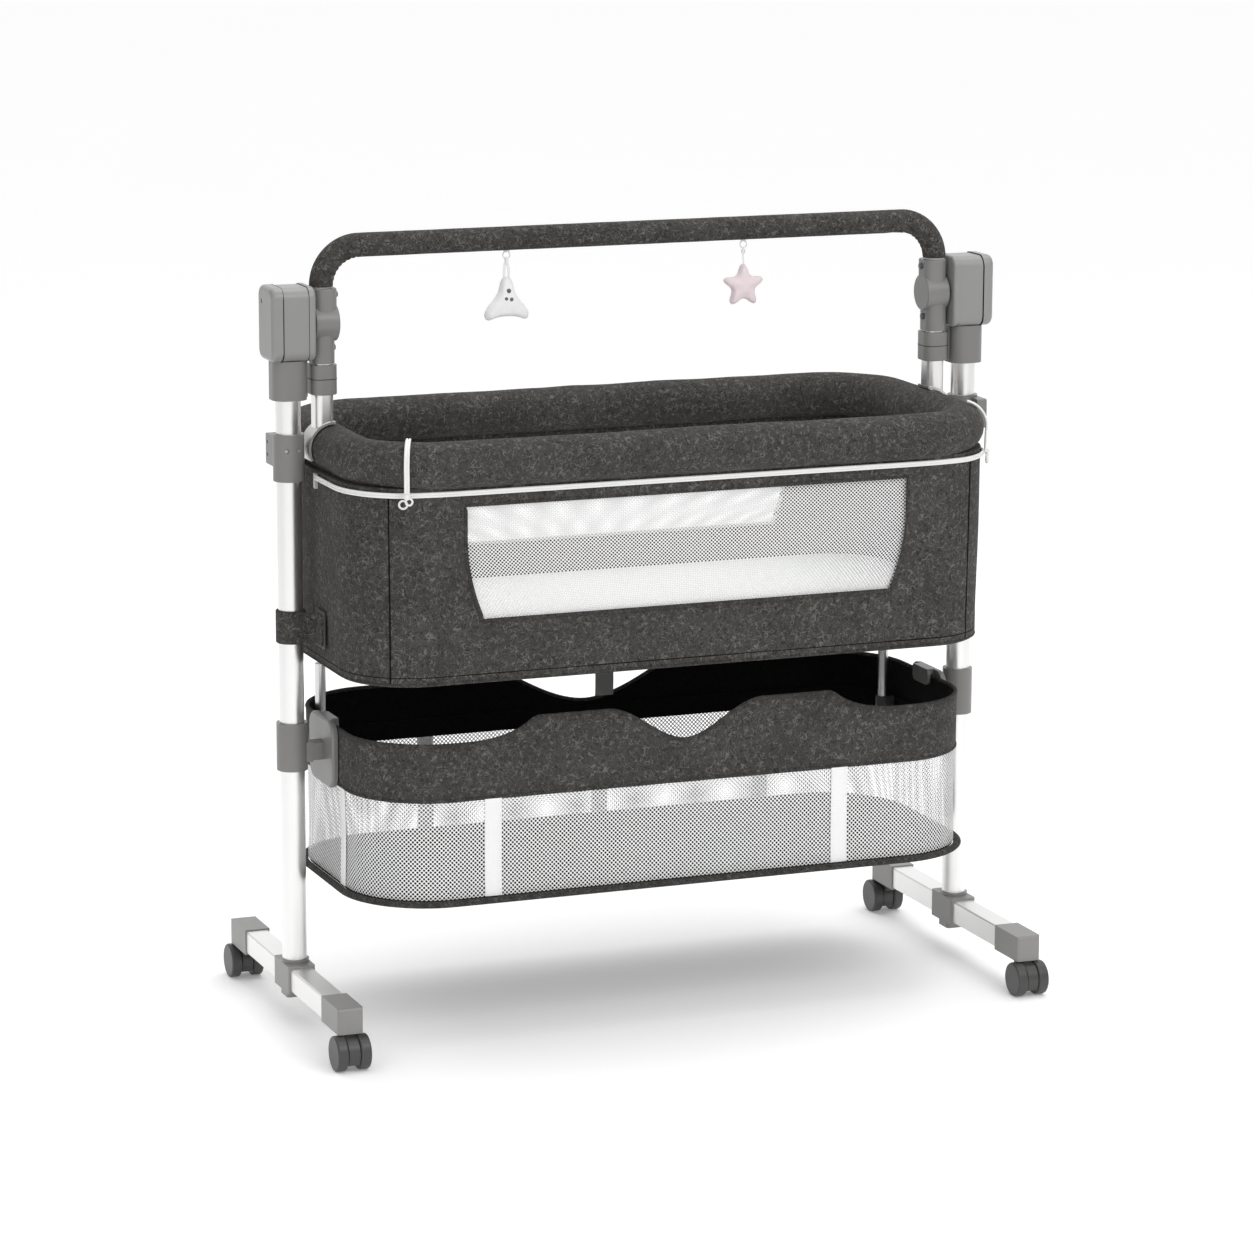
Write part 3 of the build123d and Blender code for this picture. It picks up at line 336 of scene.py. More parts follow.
# %% Skin a row of rings
def skin(name, rings, material, loop=False, tube=True, holes=None, caps=True):
    """Mesh of quads through the rings. holes(i, j) is true for a quad that is left out."""
    count, around = len(rings), len(rings[0])
    points = [p for ring in rings for p in ring]
    rows = count if loop else count - 1
    spans = around if tube else around - 1
    runs, sides = [0.0], [0.0]
    for i in range(rows):
        a, b = rings[i], rings[(i + 1) % count]
        runs.append(runs[-1] + sum((b[k] - a[k]).length for k in range(around)) / around)
    for j in range(spans):
        sides.append(sides[-1] + (rings[0][(j + 1) % around] - rings[0][j]).length)
    faces, maps = [], []
    for i in range(rows):
        for j in range(spans):
            if holes and holes(i, j):
                continue
            ni, nj = (i + 1) % count, (j + 1) % around
            faces.append((i * around + j, ni * around + j, ni * around + nj, i * around + nj))
            near, far, low, high = runs[i], runs[i + 1], sides[j], sides[j + 1]
            maps += [(near, low), (far, low), (far, high), (near, high)]
    if tube and not loop and caps:
        faces.append(tuple(range(around)))
        faces.append(tuple(reversed([(count - 1) * around + j for j in range(around)])))
        maps += [(0.0, s) for s in sides[:around]]
        maps += [(runs[-1], s) for s in reversed(sides[:around])]
    mesh = bpy.data.meshes.new(name)
    mesh.from_pydata(points, [], faces)
    layer = mesh.uv_layers.new(name="cloth")
    for k, uv in enumerate(maps):
        layer.data[k].uv = uv
    piece = bpy.data.objects.new(name, mesh)
    bpy.context.scene.collection.objects.link(piece)
    mesh.materials.append(material)
    return piece


print("skin ready")

# %% [markdown]
# Done by hand each would be a few clicks in the same order each time.

# %% Small tools
def pick(piece):
    bpy.ops.object.select_all(action="DESELECT")
    piece.select_set(True)
    bpy.context.view_layer.objects.active = piece


def apply(piece, kind, **settings):
    """Add a modifier with these settings and apply it."""
    pick(piece)
    modifier = piece.modifiers.new(kind.lower(), kind)
    for key, value in settings.items():
        setattr(modifier, key, value)
    bpy.ops.object.modifier_apply(modifier=modifier.name)


def tidy(piece, angle=40.0):
    """Merge doubles, point the faces out and smooth the shading."""
    pick(piece)
    bpy.ops.object.mode_set(mode="EDIT")
    bpy.ops.mesh.select_all(action="SELECT")
    bpy.ops.mesh.remove_doubles(threshold=0.00002)
    bpy.ops.mesh.normals_make_consistent(inside=False)
    bpy.ops.object.mode_set(mode="OBJECT")
    bpy.ops.object.shade_smooth_by_angle(angle=math.radians(angle))


def hand_over(piece, body, slot, *nodes):
    """The piece rides on its body and stands for its CAD nodes. Its slot is not used."""
    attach(piece, body)
    if nodes:
        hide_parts(*nodes)
    print(piece.name, len(piece.data.polygons), "faces")


# %% [markdown]
# Rim, tub and basket all have the plan of a rectangle with round corners. A bevelled rectangle
# would give the outline, but not evenly spaced points on it. Walking along the line gives, for a
# distance from the middle of the back, the point there and the direction outwards.

# %% Rounded rectangle
def plan_length(a, b, r):
    return 4 * (a - r) + 4 * (b - r) + 2 * math.pi * r


def plan_point(s, a, b, r):
    """Point, outward direction, and distance run, on the plan of half sizes a and b."""
    quarter = math.pi * r / 2
    runs = [(a - r, 0), (quarter, 1), (2 * (b - r), 0), (quarter, 1), (2 * (a - r), 0),
            (quarter, 1), (2 * (b - r), 0), (quarter, 1), (a - r, 0)]
    s = s % plan_length(a, b, r)
    place, heading = Vector((0.0, b, 0.0)), math.pi
    for length, turns in runs:
        part = min(s, length)
        if turns:
            centre = place + Vector((-math.sin(heading), math.cos(heading), 0.0)) * r
            turned = heading + part / r
            place = centre - Vector((-math.sin(turned), math.cos(turned), 0.0)) * r
            heading = turned
        else:
            place = place + Vector((math.cos(heading), math.sin(heading), 0.0)) * part
        s -= part
        if s <= 1e-12:
            break
    return place, Vector((math.sin(heading), -math.cos(heading), 0.0))


print("plan walk ready")

# %% [markdown]
# Foam and stuffing push their cover outwards, so that it is tight over a wide part and never quite
# even. Sculpting could give that look by hand. Cloth with pressure inside gives it by itself: the
# piece starts a little slim and is blown up for a few frames. No point may go further than a cap,
# so that the piece stays in its place, and one subdivision smooths it.

# %% Fill out a padded piece
CLOTH_FRAMES = 20
CLOTH_STIFFNESS = 25.0
CLOTH_BENDING = 2.0


def fill_out(piece, voxel, pressure, cap):
    """Remesh, blow up a little as cloth, and let no point move further than cap."""
    apply(piece, "REMESH", mode="VOXEL", voxel_size=voxel)
    before = [v.co.copy() for v in piece.data.vertices]
    pick(piece)
    cloth = piece.modifiers.new("fill", "CLOTH")
    cloth.settings.use_pressure = True
    cloth.settings.uniform_pressure_force = pressure
    cloth.settings.effector_weights.gravity = 0.0
    cloth.settings.tension_stiffness = CLOTH_STIFFNESS
    cloth.settings.compression_stiffness = CLOTH_STIFFNESS
    cloth.settings.bending_stiffness = CLOTH_BENDING
    for step in range(1, CLOTH_FRAMES + 1):
        bpy.context.scene.frame_set(step)
    bpy.ops.object.modifier_apply(modifier=cloth.name)
    bpy.context.scene.frame_set(1)
    for vertex, start in zip(piece.data.vertices, before):
        move = vertex.co - start
        if move.length > cap:
            vertex.co = start + move.normalized() * cap
    apply(piece, "SUBSURF", levels=1, render_levels=1)


print("cloth", f"{CLOTH_FRAMES} frames")

# %% [markdown]
# The rim's padded roll is foam wrapped in fabric. A torus stretched to the plan would flatten at
# its corners, so it is a tube swept round the plan, with small lumps from a noise, filled out.

# %% Roll on the rim
RIM_A, RIM_B, RIM_CORNER, RIM_Z = 0.414, 0.187, 0.092, 0.750
SLIM_ROLL = 0.0298
ROLL_STATIONS = 220


def roll_ring(s, steps=28):
    """Section of the roll at distance s, a little lumpy."""
    place, out = plan_point(s, RIM_A, RIM_B, RIM_CORNER)
    ring = []
    for k in range(steps):
        turn = 2 * math.pi * k / steps
        away = out * math.cos(turn) + Vector((0, 0, 1)) * math.sin(turn)
        spot = place + Vector((0, 0, RIM_Z)) + away * SLIM_ROLL
        lump = noise.noise(spot * 14.0) * 0.0011 + noise.noise(spot * 45.0) * 0.0005
        ring.append(spot + away * lump)
    return ring


roll_run = plan_length(RIM_A, RIM_B, RIM_CORNER)
roll_rings = [roll_ring(i * roll_run / ROLL_STATIONS) for i in range(ROLL_STATIONS)]
rim_roll = skin("rim_roll_padded", roll_rings, fabric, loop=True)
tidy(rim_roll, 180)
fill_out(rim_roll, 0.006, 4.0, 0.0016)
tidy(rim_roll, 180)
hand_over(rim_roll, "cradle", "fabric_dark", "rim_roll")

# %% [markdown]
# The tub is fabric on a thin foam wall. Its long sides have windows, wider at the top, with sides
# that curve in towards the foot. A window could be cut out with a boolean, which leaves a ragged
# mesh round it. Here the grid of the wall follows the window's outline from the start, and points
# stand close together where a seam will lie.

# %% Outline of the tub
BODY_A, BODY_B, BODY_CORNER = 0.440, 0.195, 0.096
BODY_LOW, BODY_HIGH = 0.471, 0.724
WINDOW_TOP = 0.700
FRONT_SILL, BACK_SILL = 0.552, 0.573
WINDOW_HALF, SILL_HALF = 0.302, 0.279
CURVE_HEIGHT = 0.105        # the window's sides are upright above this height over the sill
WINDOW_SPANS = 72
CORNER_SEAM = 34.0          # degrees round the corner, from the long side
SEAM_HALF = 0.75


def window_half(z, sill):
    """Half width of the window at height z."""
    rise = min(max((z - sill) / CURVE_HEIGHT, 0.0), 1.0)
    return SILL_HALF + (WINDOW_HALF - SILL_HALF) * (1 - (1 - rise) ** 2)


def tub_outline(z, inset):
    """Points of the wall at height z, counter-clockwise from the back's right end."""
    a, b, r = BODY_A - inset, BODY_B - inset, BODY_CORNER - inset
    flat, deep = a - r, b - r
    points = []
    seam = 90.0 - CORNER_SEAM
    degrees = [6.5, 13, 19.5, 26, 32.5, 40, 48, seam - SEAM_HALF, seam, seam + SEAM_HALF,
               62.5, 69, 76, 83]
    fore = sorted(90 - d for d in degrees)
    for side in (1, -1):
        sill = BACK_SILL if side > 0 else FRONT_SILL
        half = window_half(z, sill)
        for k in range(-WINDOW_SPANS // 2, WINDOW_SPANS // 2 + 1):
            points.append((-side * k / (WINDOW_SPANS // 2) * half, side * b, None))
        for part in (0.25, 0.5, 0.75):
            points.append((-side * (half + part * (flat - half)), side * b, None))
        for d in [0.0] + fore:
            turn = math.radians(d)
            points.append((-side * (flat + r * math.sin(turn)),
                           side * (deep + r * math.cos(turn)), d))
        for k in range(13):
            points.append((-side * a, side * (deep - 2 * deep * k / 12), None))
        for d in [90 - f for f in degrees] + [0.0]:
            turn = math.radians(d)
            points.append((-side * (flat + r * math.sin(turn)),
                           -side * (deep + r * math.cos(turn)), d))
        half = window_half(z, FRONT_SILL if side > 0 else BACK_SILL)
        for part in (0.75, 0.5, 0.25):
            points.append((-side * (half + part * (flat - half)), -side * b, None))
    return points


print("points round the tub", len(tub_outline(BODY_HIGH, 0.0)))

# %% [markdown]
# The wall leans in a little towards the foot, where it turns under. Seams are narrow grooves: one
# near each corner and one round the foot. Bump alone would vanish from the side, so the rows and
# columns at a seam are pushed in. A slow noise keeps the foam wall from being perfectly flat.

# %% Rings of the tub
FOOT_SEAM_ROW = 0.4838
TURN_ROW = 0.4775           # below this height the wall turns under
TUB_ROWS = [0.4718, 0.4738, TURN_ROW, 0.483, FOOT_SEAM_ROW, 0.4846, 0.497, 0.511, 0.525, 0.539,
            FRONT_SILL, 0.5625, BACK_SILL, 0.586, 0.6, 0.614, 0.628, 0.642, 0.656, 0.67, 0.684,
            WINDOW_TOP, 0.712, BODY_HIGH]
TUB_LEAN = 0.0036


def lean_in(z):
    """How far the wall stands in from the rim's plan at height z."""
    return TUB_LEAN * (1 - (z - BODY_LOW) / (BODY_HIGH - BODY_LOW))


def tub_ring(z):
    low = max(0.0, TURN_ROW - z)
    inset = lean_in(z) + low * low * 110
    if z == FOOT_SEAM_ROW:
        inset += 0.0013
    ring = []
    for x, y, degrees in tub_outline(z, inset):
        spot = Vector((x, y, z))
        out = Vector((x * 0.25, y, 0.0)).normalized()
        at_seam = degrees is not None and abs(degrees - CORNER_SEAM) < 0.01
        if at_seam and BODY_LOW + 0.004 < z:
            spot -= out * 0.0014
        spot += out * (noise.noise(spot * 9.0) * 0.0012 + noise.noise(spot * 28.0) * 0.0004)
        ring.append(spot)
    return ring


tub_rings = [tub_ring(z) for z in TUB_ROWS]
half_around = len(tub_rings[0]) // 2
print("rings of the tub", len(tub_rings))

# %% [markdown]
# The rings are joined, without the quads that lie in a window. The foot is closed by filling its
# lowest ring in edit mode, and Solidify gives the foam wall its thickness. The normals are put
# right before that, because on a closed shell it would turn the inner wall round.

# %% Tub


def in_window(i, j):
    low, high = TUB_ROWS[i], TUB_ROWS[min(i + 1, len(TUB_ROWS) - 1)]
    sill = BACK_SILL if j < half_around else FRONT_SILL
    return j % half_around < WINDOW_SPANS and low > sill - 1e-5 and high < WINDOW_TOP + 1e-5


bed_body = skin("bed_tub", tub_rings, fabric, holes=in_window, caps=False)
pick(bed_body)
bpy.ops.object.mode_set(mode="EDIT")
bpy.ops.mesh.select_mode(type="EDGE")
bpy.ops.mesh.select_all(action="DESELECT")
bpy.ops.object.mode_set(mode="OBJECT")
just_above = TUB_ROWS[0] + 0.0004
for edge in bed_body.data.edges:
    edge.select = max(bed_body.data.vertices[v].co.z for v in edge.vertices) < just_above
bpy.ops.object.mode_set(mode="EDIT")
bpy.ops.mesh.fill()
bpy.ops.object.mode_set(mode="OBJECT")
tidy(bed_body, 35)
apply(bed_body, "SOLIDIFY", thickness=0.010, offset=-1.0, use_even_offset=False)
bpy.ops.object.shade_smooth_by_angle(angle=math.radians(35))
hand_over(bed_body, "cradle", "fabric_dark", "bed_body")

# %% [markdown]
# Each window is net stretched behind the opening and sewn in all round. A simulation would hardly
# move cloth that is held on every edge, so it is a grid that follows the window's outline, runs a
# little way under the fabric and waves by half a millimetre. One layer of cloth is enough here.

# %% Window nets
NET_TUCK = 0.005
NET_SINK = 0.0065


def window_sheet(name, side, sill):
    rows = []
    for i in range(13):
        z = sill - NET_TUCK + (WINDOW_TOP - sill + 2 * NET_TUCK) * i / 12
        half = window_half(z, sill) + NET_TUCK
        row = []
        for k in range(49):
            x = half * (k / 24 - 1)
            give = noise.noise(Vector((x * 7, z * 9, side))) * 0.0006
            row.append(Vector((-side * x, side * (BODY_B - NET_SINK + give), z)))
        rows.append(row)
    return skin(name, rows, window_net_cloth, tube=False)


for face, side, sill in (("front", -1, FRONT_SILL), ("back", 1, BACK_SILL)):
    sheet = window_sheet(f"window_net_{face}", side, sill)
    pick(sheet)
    bpy.ops.object.shade_smooth()
    hand_over(sheet, "cradle", "net_white", "window_nets")

# %% [markdown]
# Edges, straps and cords are all one flat or round section moved along a line. A curve with a
# bevel twists where its line turns out of a plane. This helper is told which way is outwards at
# each point, so a strap always lies flat on what it is sewn to.

# %% Sweep helpers
def sweep(name, line, out_of, profile, loop, material):
    """Profile points (outward, sideways) swept along a line. out_of(i) is the outward direction."""
    count = len(line)
    rings = []
    for i, spot in enumerate(line):
        before = line[(i - 1) % count] if loop or i else line[i]
        after = line[(i + 1) % count] if loop or i < count - 1 else line[i]
        ahead = (after - before).normalized()
        out = out_of(i)
        out = (out - ahead * out.dot(ahead)).normalized()
        aside = ahead.cross(out)
        rings.append([spot + out * u + aside * v for u, v in profile])
    piece = skin(name, rings, material, loop=loop)
    tidy(piece, 50)
    return piece


def round_profile(radius, steps=10):
    return [(radius * math.cos(2 * math.pi * k / steps), radius * math.sin(2 * math.pi * k / steps))
            for k in range(steps)]


def flat_profile(thick, wide, soft=0.35):
    """Strap section: flat faces and rounded edges."""
    t, w, c = thick / 2, wide / 2, thick * soft
    return [(t, -w + c), (t, 0.0), (t, w - c), (t - c, w), (-t + c, w), (-t, w - c),
            (-t, 0.0), (-t, -w + c), (-t + c, -w), (t - c, -w)]


def plan_line(a, b, r, z, count):
    run = plan_length(a, b, r)
    return [plan_point(i * run / count, a, b, r)[0] + Vector((0, 0, z)) for i in range(count)]


def plan_outs(a, b, r, count):
    run = plan_length(a, b, r)
    outs = [plan_point(i * run / count, a, b, r)[1] for i in range(count)]
    return lambda i: outs[i]


def ring_sweep(name, plan, z, profile, material, count=200):
    return sweep(name, plan_line(*plan, z, count), plan_outs(*plan, count), profile, True, material)


def inset_plan(plan, inset):
    return tuple(size - inset for size in plan)


print("sweep ready")

# %% [markdown]
# The tub's foot has a corded edge, and its panels meet at seams, one near each corner and one
# round the foot. The grooves are there already. A thin dark tube in each one is painted shade,
# the groove's shadow, cheaper than a shadow painted in the material, and it stays sharp from
# close by.

# %% Piping of the tub, and painted shade in its seams
body_plan = (BODY_A, BODY_B, BODY_CORNER)
tub_piping = ring_sweep("tub_piping", inset_plan(body_plan, 0.0045), 0.4752,
                        round_profile(0.0017, 8), piping_cloth)
hand_over(tub_piping, "cradle", "fabric_dark")
# A thin dark tube in the groove round the foot: painted shade.
foot_seam_shade = ring_sweep("tub_foot_seam", inset_plan(body_plan, 0.0042), FOOT_SEAM_ROW,
                       round_profile(0.0008, 6), lining)
hand_over(foot_seam_shade, "cradle", "fabric_dark")
SEAM_LOW, SEAM_HIGH = 0.4765, 0.716
for right in (-1, 1):
    for front in (-1, 1):
        turn = math.radians(CORNER_SEAM)
        lean = Vector((right * math.sin(turn), front * math.cos(turn), 0.0))
        foot = Vector((right * (BODY_A - BODY_CORNER), front * (BODY_B - BODY_CORNER), 0.0))
        line = []
        for k in range(17):
            z = SEAM_LOW + (SEAM_HIGH - SEAM_LOW) * k / 16
            line.append(foot + lean * (BODY_CORNER - lean_in(z) - 0.0002) + Vector((0, 0, z)))
        # A thin dark tube in each corner groove: painted shade.
        seam = sweep(f"corner_seam_shade_{right}_{front}", line, lambda i: lean,
                     round_profile(0.0011, 6), False, lining)
        hand_over(seam, "cradle", "fabric_dark")

# %% [markdown]
# A narrow binding hides the cut edge of the fabric round each window. It is a flat strip, swept
# along the window's outline and lying on the wall, where a round cord would stand too proud.

# %% Binding round the windows
def window_edge(side, sill):
    line = []
    for k in range(25):
        line.append((WINDOW_HALF * (1 - k / 12), WINDOW_TOP))
    for k in range(1, 21):
        z = WINDOW_TOP + (sill - WINDOW_TOP) * k / 20
        line.append((-window_half(z, sill), z))
    for k in range(1, 24):
        line.append((SILL_HALF * (k / 12 - 1), sill))
    for k in range(20):
        z = sill + (WINDOW_TOP - sill) * k / 20
        line.append((window_half(z, sill), z))
    return [Vector((x, side * (BODY_B - 0.0012), z)) for x, z in line]


for face, side, sill in (("front", -1, FRONT_SILL), ("back", 1, BACK_SILL)):
    outward = Vector((0, side, 0))
    binding = sweep(f"window_binding_{face}", window_edge(side, sill), lambda i: outward,
                    flat_profile(0.0032, 0.0055, 0.45), True, piping_cloth)
    hand_over(binding, "cradle", "fabric_dark")

# %% [markdown]
# The mattress is a foam pad in a knitted white cover, a little crowned, with a corded edge. A
# bevelled box would be too crisp, so it is a stack of rounded outlines, filled out under pressure.
# It is flat below, where it lies on the board, so points that sink under the board are lifted.

# %% Mattress
knit = Graph("mattress_knit", Roughness=0.9, Sheen_Weight=0.15)
knit_rib = knit.noise(knit.scaled(420, 420, 420), detail=1.0)
knit_cell = knit.add("ShaderNodeTexVoronoi", {"feature": "DISTANCE_TO_EDGE"},
                     {"Vector": knit.place, "Scale": 60.0})
knit.feed("Base Color", knit.mix(knit.ramp(knit_cell, 0.0, 0.12), colour(0.88, 0.88, 0.87),
                                 colour(0.96, 0.96, 0.95)))
knit.bump(knit.ramp(knit_cell, 0.0, 0.2) + knit_rib * 0.3, 0.5, 0.0008)

PAD_A, PAD_B, PAD_R = 0.4075, 0.1745, 0.079
BOARD_TOP = 0.4843
pad_plan = (PAD_A, PAD_B, PAD_R)
pad_levels = [(0.4845, 0.009), (0.4862, 0.003), (0.49, 0.0005), (0.509, 0.0), (0.526, 0.0005),
              (0.530, 0.003), (0.5318, 0.009)]
pad_rings = [plan_line(*inset_plan(pad_plan, inset), z, 160) for z, inset in pad_levels]
mattress = skin("mattress_pad", pad_rings, knit.material)
fill_out(mattress, 0.007, 4.0, 0.0018)
for vertex in mattress.data.vertices:
    vertex.co.z = max(vertex.co.z, BOARD_TOP)
tidy(mattress, 60)
hand_over(mattress, "mattress", "mattress_cloth", "mattress")
pad_cord = ring_sweep("mattress_piping", (PAD_A - 0.0008, PAD_B - 0.0008, PAD_R), 0.5285,
                      round_profile(0.0019, 8), knit.material)
hand_over(pad_cord, "mattress", "mattress_cloth")

# %% [markdown]
# The basket hangs from a wide fabric band. Its edge rises beside the ends with a sharp step and
# dips in the middle of both long sides, for reaching in. The edge could be cut with a knife from a
# plain band. Written as a height for each place along the side, it stays smooth and easy to change.

# %% Edge of the basket band
BASKET_A, BASKET_B, BASKET_R = 0.424, 0.182, 0.110
BAND_LOW, BAND_END, BAND_HIGH = 0.319, 0.393, 0.421
FRONT_DIP, BACK_DIP = (0.375, 0.102), (0.352, 0.185)
SHOULDER, SHOULDER_END = 0.205, 0.300
STEP_LEAD = 0.3             # how far the step's curve runs on before it falls


def solve(run, target):
    """The share t at which the falling function run(t) reaches the target."""
    low, high = 0.0, 1.0
    for _ in range(30):
        middle = (low + high) / 2
        if run(middle) > target:
            low = middle
        else:
            high = middle
    return (low + high) / 2


def band_edge(x, y):
    """Height of the band's upper edge."""
    across = abs(x)
    if across >= SHOULDER_END:
        return BAND_END
    if across >= SHOULDER:
        fall = (across - SHOULDER) / (SHOULDER_END - SHOULDER)
        t = solve(lambda t: (1 - t) ** 2 + 2 * t * (1 - t) * STEP_LEAD, fall)
        return BAND_END + (BAND_HIGH - BAND_END) * t * t
    dip, half = FRONT_DIP if y < 0 else BACK_DIP
    if across >= half:
        return BAND_HIGH
    rise = across / half
    rounded = 0.5 - 0.5 * math.cos(math.pi * rise)
    return dip + (BAND_HIGH - dip) * (0.75 * rounded + 0.25 * rise ** 1.4)


print("band edge", BAND_END, band_edge(0.25, -1), band_edge(0.0, -1), band_edge(0.0, 1))

# %% [markdown]
# The band is two layers: heather outside and black lining inside. Solidify makes the second layer
# and gives it its own material, which saves a second mesh that would have to fit the first.

# %% Basket band
BAND_COUNT = 300
basket_plan = (BASKET_A, BASKET_B, BASKET_R)
band_run = plan_length(*basket_plan)


def band_point(i, share, inset=0.0, lift=0.0):
    place, out = plan_point(i * band_run / BAND_COUNT, *basket_plan)
    top = band_edge(place.x, place.y) + lift
    z = BAND_LOW + (top - BAND_LOW) * share
    sway = noise.noise(Vector((place.x * 8, place.y * 8, z * 6))) * 0.0010 * share
    return place + out * (sway - inset) + Vector((0, 0, z))


band_rings = [[band_point(i, share / 8, inset=0.0010) for share in range(9)]
              for i in range(BAND_COUNT)]
basket_band = skin("basket_band_cloth", band_rings, fabric, loop=True, tube=False)
basket_band.data.materials.append(lining)
tidy(basket_band, 60)
apply(basket_band, "SOLIDIFY", thickness=0.0038, offset=-1.0, material_offset=1,
      material_offset_rim=0)
hand_over(basket_band, "stand", "fabric_dark", "basket_band")

# %% [markdown]
# A corded edging follows the band's upper edge and a flat hem its lower one. Both take their line
# from the band itself, so they follow every step and dip of it.

# %% Edging and hem of the band
band_outs = plan_outs(*basket_plan, BAND_COUNT)
edge_line = [band_point(i, 1.0, inset=0.0028, lift=-0.0006) for i in range(BAND_COUNT)]
band_piping = sweep("band_edging", edge_line, band_outs, round_profile(0.0027, 8), True,
                    piping_cloth)
hand_over(band_piping, "stand", "fabric_dark")
hem_line = [band_point(i, 0.0, inset=0.0012) + Vector((0, 0, 0.002)) for i in range(BAND_COUNT)]
band_hem = sweep("band_hem", hem_line, band_outs, flat_profile(0.0026, 0.0045, 0.45), True,
                 piping_cloth)
hand_over(band_hem, "stand", "fabric_dark")

# %% [markdown]
# Below the band the basket is net. It is held above and below and pulled in a little between, more
# at some places than others, so a shallow hollow with a slow noise does what a simulation would.

# %% Basket net
NET_PLAN = inset_plan(basket_plan, 0.002)
NET_COUNT = 260
NET_LOW, NET_HIGH = 0.1925, 0.3215
net_run = plan_length(*NET_PLAN)
net_rings = []
for i in range(NET_COUNT):
    place, out = plan_point(i * net_run / NET_COUNT, *NET_PLAN)
    ring = []
    for k in range(8):
        z = NET_LOW + (NET_HIGH - NET_LOW) * k / 7
        wave = noise.noise(Vector((place.x * 5, place.y * 5, z * 4))) * 0.0009
        belly = math.sin(math.pi * k / 7) * (-0.0014 + wave)
        ring.append(place + out * belly + Vector((0, 0, z)))
    net_rings.append(ring)
basket_net = skin("basket_net_wall", net_rings, basket_net_cloth, loop=True, tube=False)
pick(basket_net)
bpy.ops.object.shade_smooth()
hand_over(basket_net, "stand", "net_white", "basket_net")

# %% [markdown]
# The basket's floor is a thin board covered in dark fabric, sewn to a wide corded rim. It is one
# outline, repeated at a few heights and drawn in towards the middle, so its edge is soft and its
# top rises a little. The rim's section is wider than it is high, as a cord lies under its load.

# %% Basket floor and rim
floor_cloth = heather("basket_floor_cloth", (0.030, 0.029, 0.028), (0.075, 0.073, 0.07),
                      (0.010, 0.010, 0.009))
floor_levels = [(0.1882, 0.150), (0.1882, 0.004), (0.1890, 0.001), (0.1905, 0.0005),
                (0.1925, 0.002), (0.1932, 0.008), (0.1938, 0.06), (0.1936, 0.150)]
floor_line = plan_line(*NET_PLAN, 0.0, 160)
floor_rings = [[Vector((p.x * (1 - inset / BASKET_A), p.y * (1 - inset / BASKET_B), z))
                for p in floor_line] for z, inset in floor_levels]
basket_floor = skin("basket_floor_pad", floor_rings, floor_cloth)
tidy(basket_floor, 50)
hand_over(basket_floor, "stand", "board", "basket_floor")

rim_profile = [(0.0052 * math.cos(2 * math.pi * k / 14), 0.0041 * math.sin(2 * math.pi * k / 14))
               for k in range(14)]
basket_rim = ring_sweep("basket_rim_piping", inset_plan(basket_plan, -0.0030), 0.188, rim_profile,
                        piping_cloth, 260)
hand_over(basket_rim, "stand", "fabric_dark", "basket_piping")

# %% [markdown]
# Webbing is a flat woven tape with fine ribs across it. Ribs that small would cost too many faces,
# so they are bands of a Wave texture that runs on the tape's own UV map, in its bump and, faintly,
# in its colour. The toys' ribbons and the cord wear the same finish in other sizes.

# %% Webbing finish
WAVE_TURN = 6.2832          # one turn of the wave, so that the ribs grow with their own width


def webbing(name, tone, ribs=1.1 * MM, dark=0.9):
    graph = Graph(name, Roughness=0.8, Sheen_Weight=0.15)
    uv = graph.add("ShaderNodeUVMap", {"uv_map": "cloth"})
    wave = graph.add("ShaderNodeTexWave", {"wave_type": "BANDS", "bands_direction": "X"},
                     {"Vector": uv, "Scale": 1.0 / (ribs * WAVE_TURN), "Distortion": 0.3,
                      "Detail": 1.0})
    cross = graph.noise(graph.scaled(300.0, 1400.0, 1.0, source=uv), detail=1.0)
    graph.feed("Base Color", graph.mix(wave * 0.5 + cross * 0.5, shaded(tone, dark), colour(*tone)))
    graph.bump(wave * 0.7 + cross * 0.3, 0.5, 0.0004)
    return graph.material


white_webbing = webbing("white_webbing", (0.88, 0.88, 0.88))
grey_webbing = webbing("grey_webbing", (0.26, 0.257, 0.252))
dark_webbing = webbing("dark_webbing", (0.040, 0.039, 0.038), dark=0.6)
print("webbing", white_webbing.name, grey_webbing.name, dark_webbing.name)

# %% [markdown]
# White webbing runs down the net where its panels meet: two strips in front, three behind and a
# narrower one at the left end. Each strip is a sweep that bows in with the net, and all of them
# are joined, since they are one finish on one body.

# %% Webbing on the net
def join(name, pieces):
    bpy.ops.object.select_all(action="DESELECT")
    for piece in pieces:
        piece.select_set(True)
    bpy.context.view_layer.objects.active = pieces[0]
    bpy.ops.object.join()
    pieces[0].name = name
    return pieces[0]


STRIP_LOW, STRIP_HIGH = 0.1930, 0.3205
strips = []
for side, places in ((-1, (-0.262, 0.216)), (1, (-0.228, 0.022, 0.258))):
    for x in places:
        line = []
        for k in range(9):
            z = STRIP_LOW + (STRIP_HIGH - STRIP_LOW) * k / 8
            bow = math.sin(math.pi * k / 8) * 0.0012
            line.append(Vector((x, side * (BASKET_B - 0.0006 - bow), z)))
        outward = Vector((0, side, 0))
        strips.append(sweep(f"webbing_{len(strips)}", line, lambda i: outward,
                            flat_profile(0.0013, 0.023), False, white_webbing))
end_line = [Vector((-BASKET_A + 0.0006 + math.sin(math.pi * k / 8) * 0.0012, -0.062,
                    STRIP_LOW + 0.1275 * k / 8)) for k in range(9)]
end_out = Vector((-1, 0, 0))
strips.append(sweep("webbing_end", end_line, lambda i: end_out, flat_profile(0.0013, 0.018), False,
                    white_webbing))
basket_strips = join("basket_webbing_strips", strips)
hand_over(basket_strips, "stand", "webbing_white", "basket_webbing")

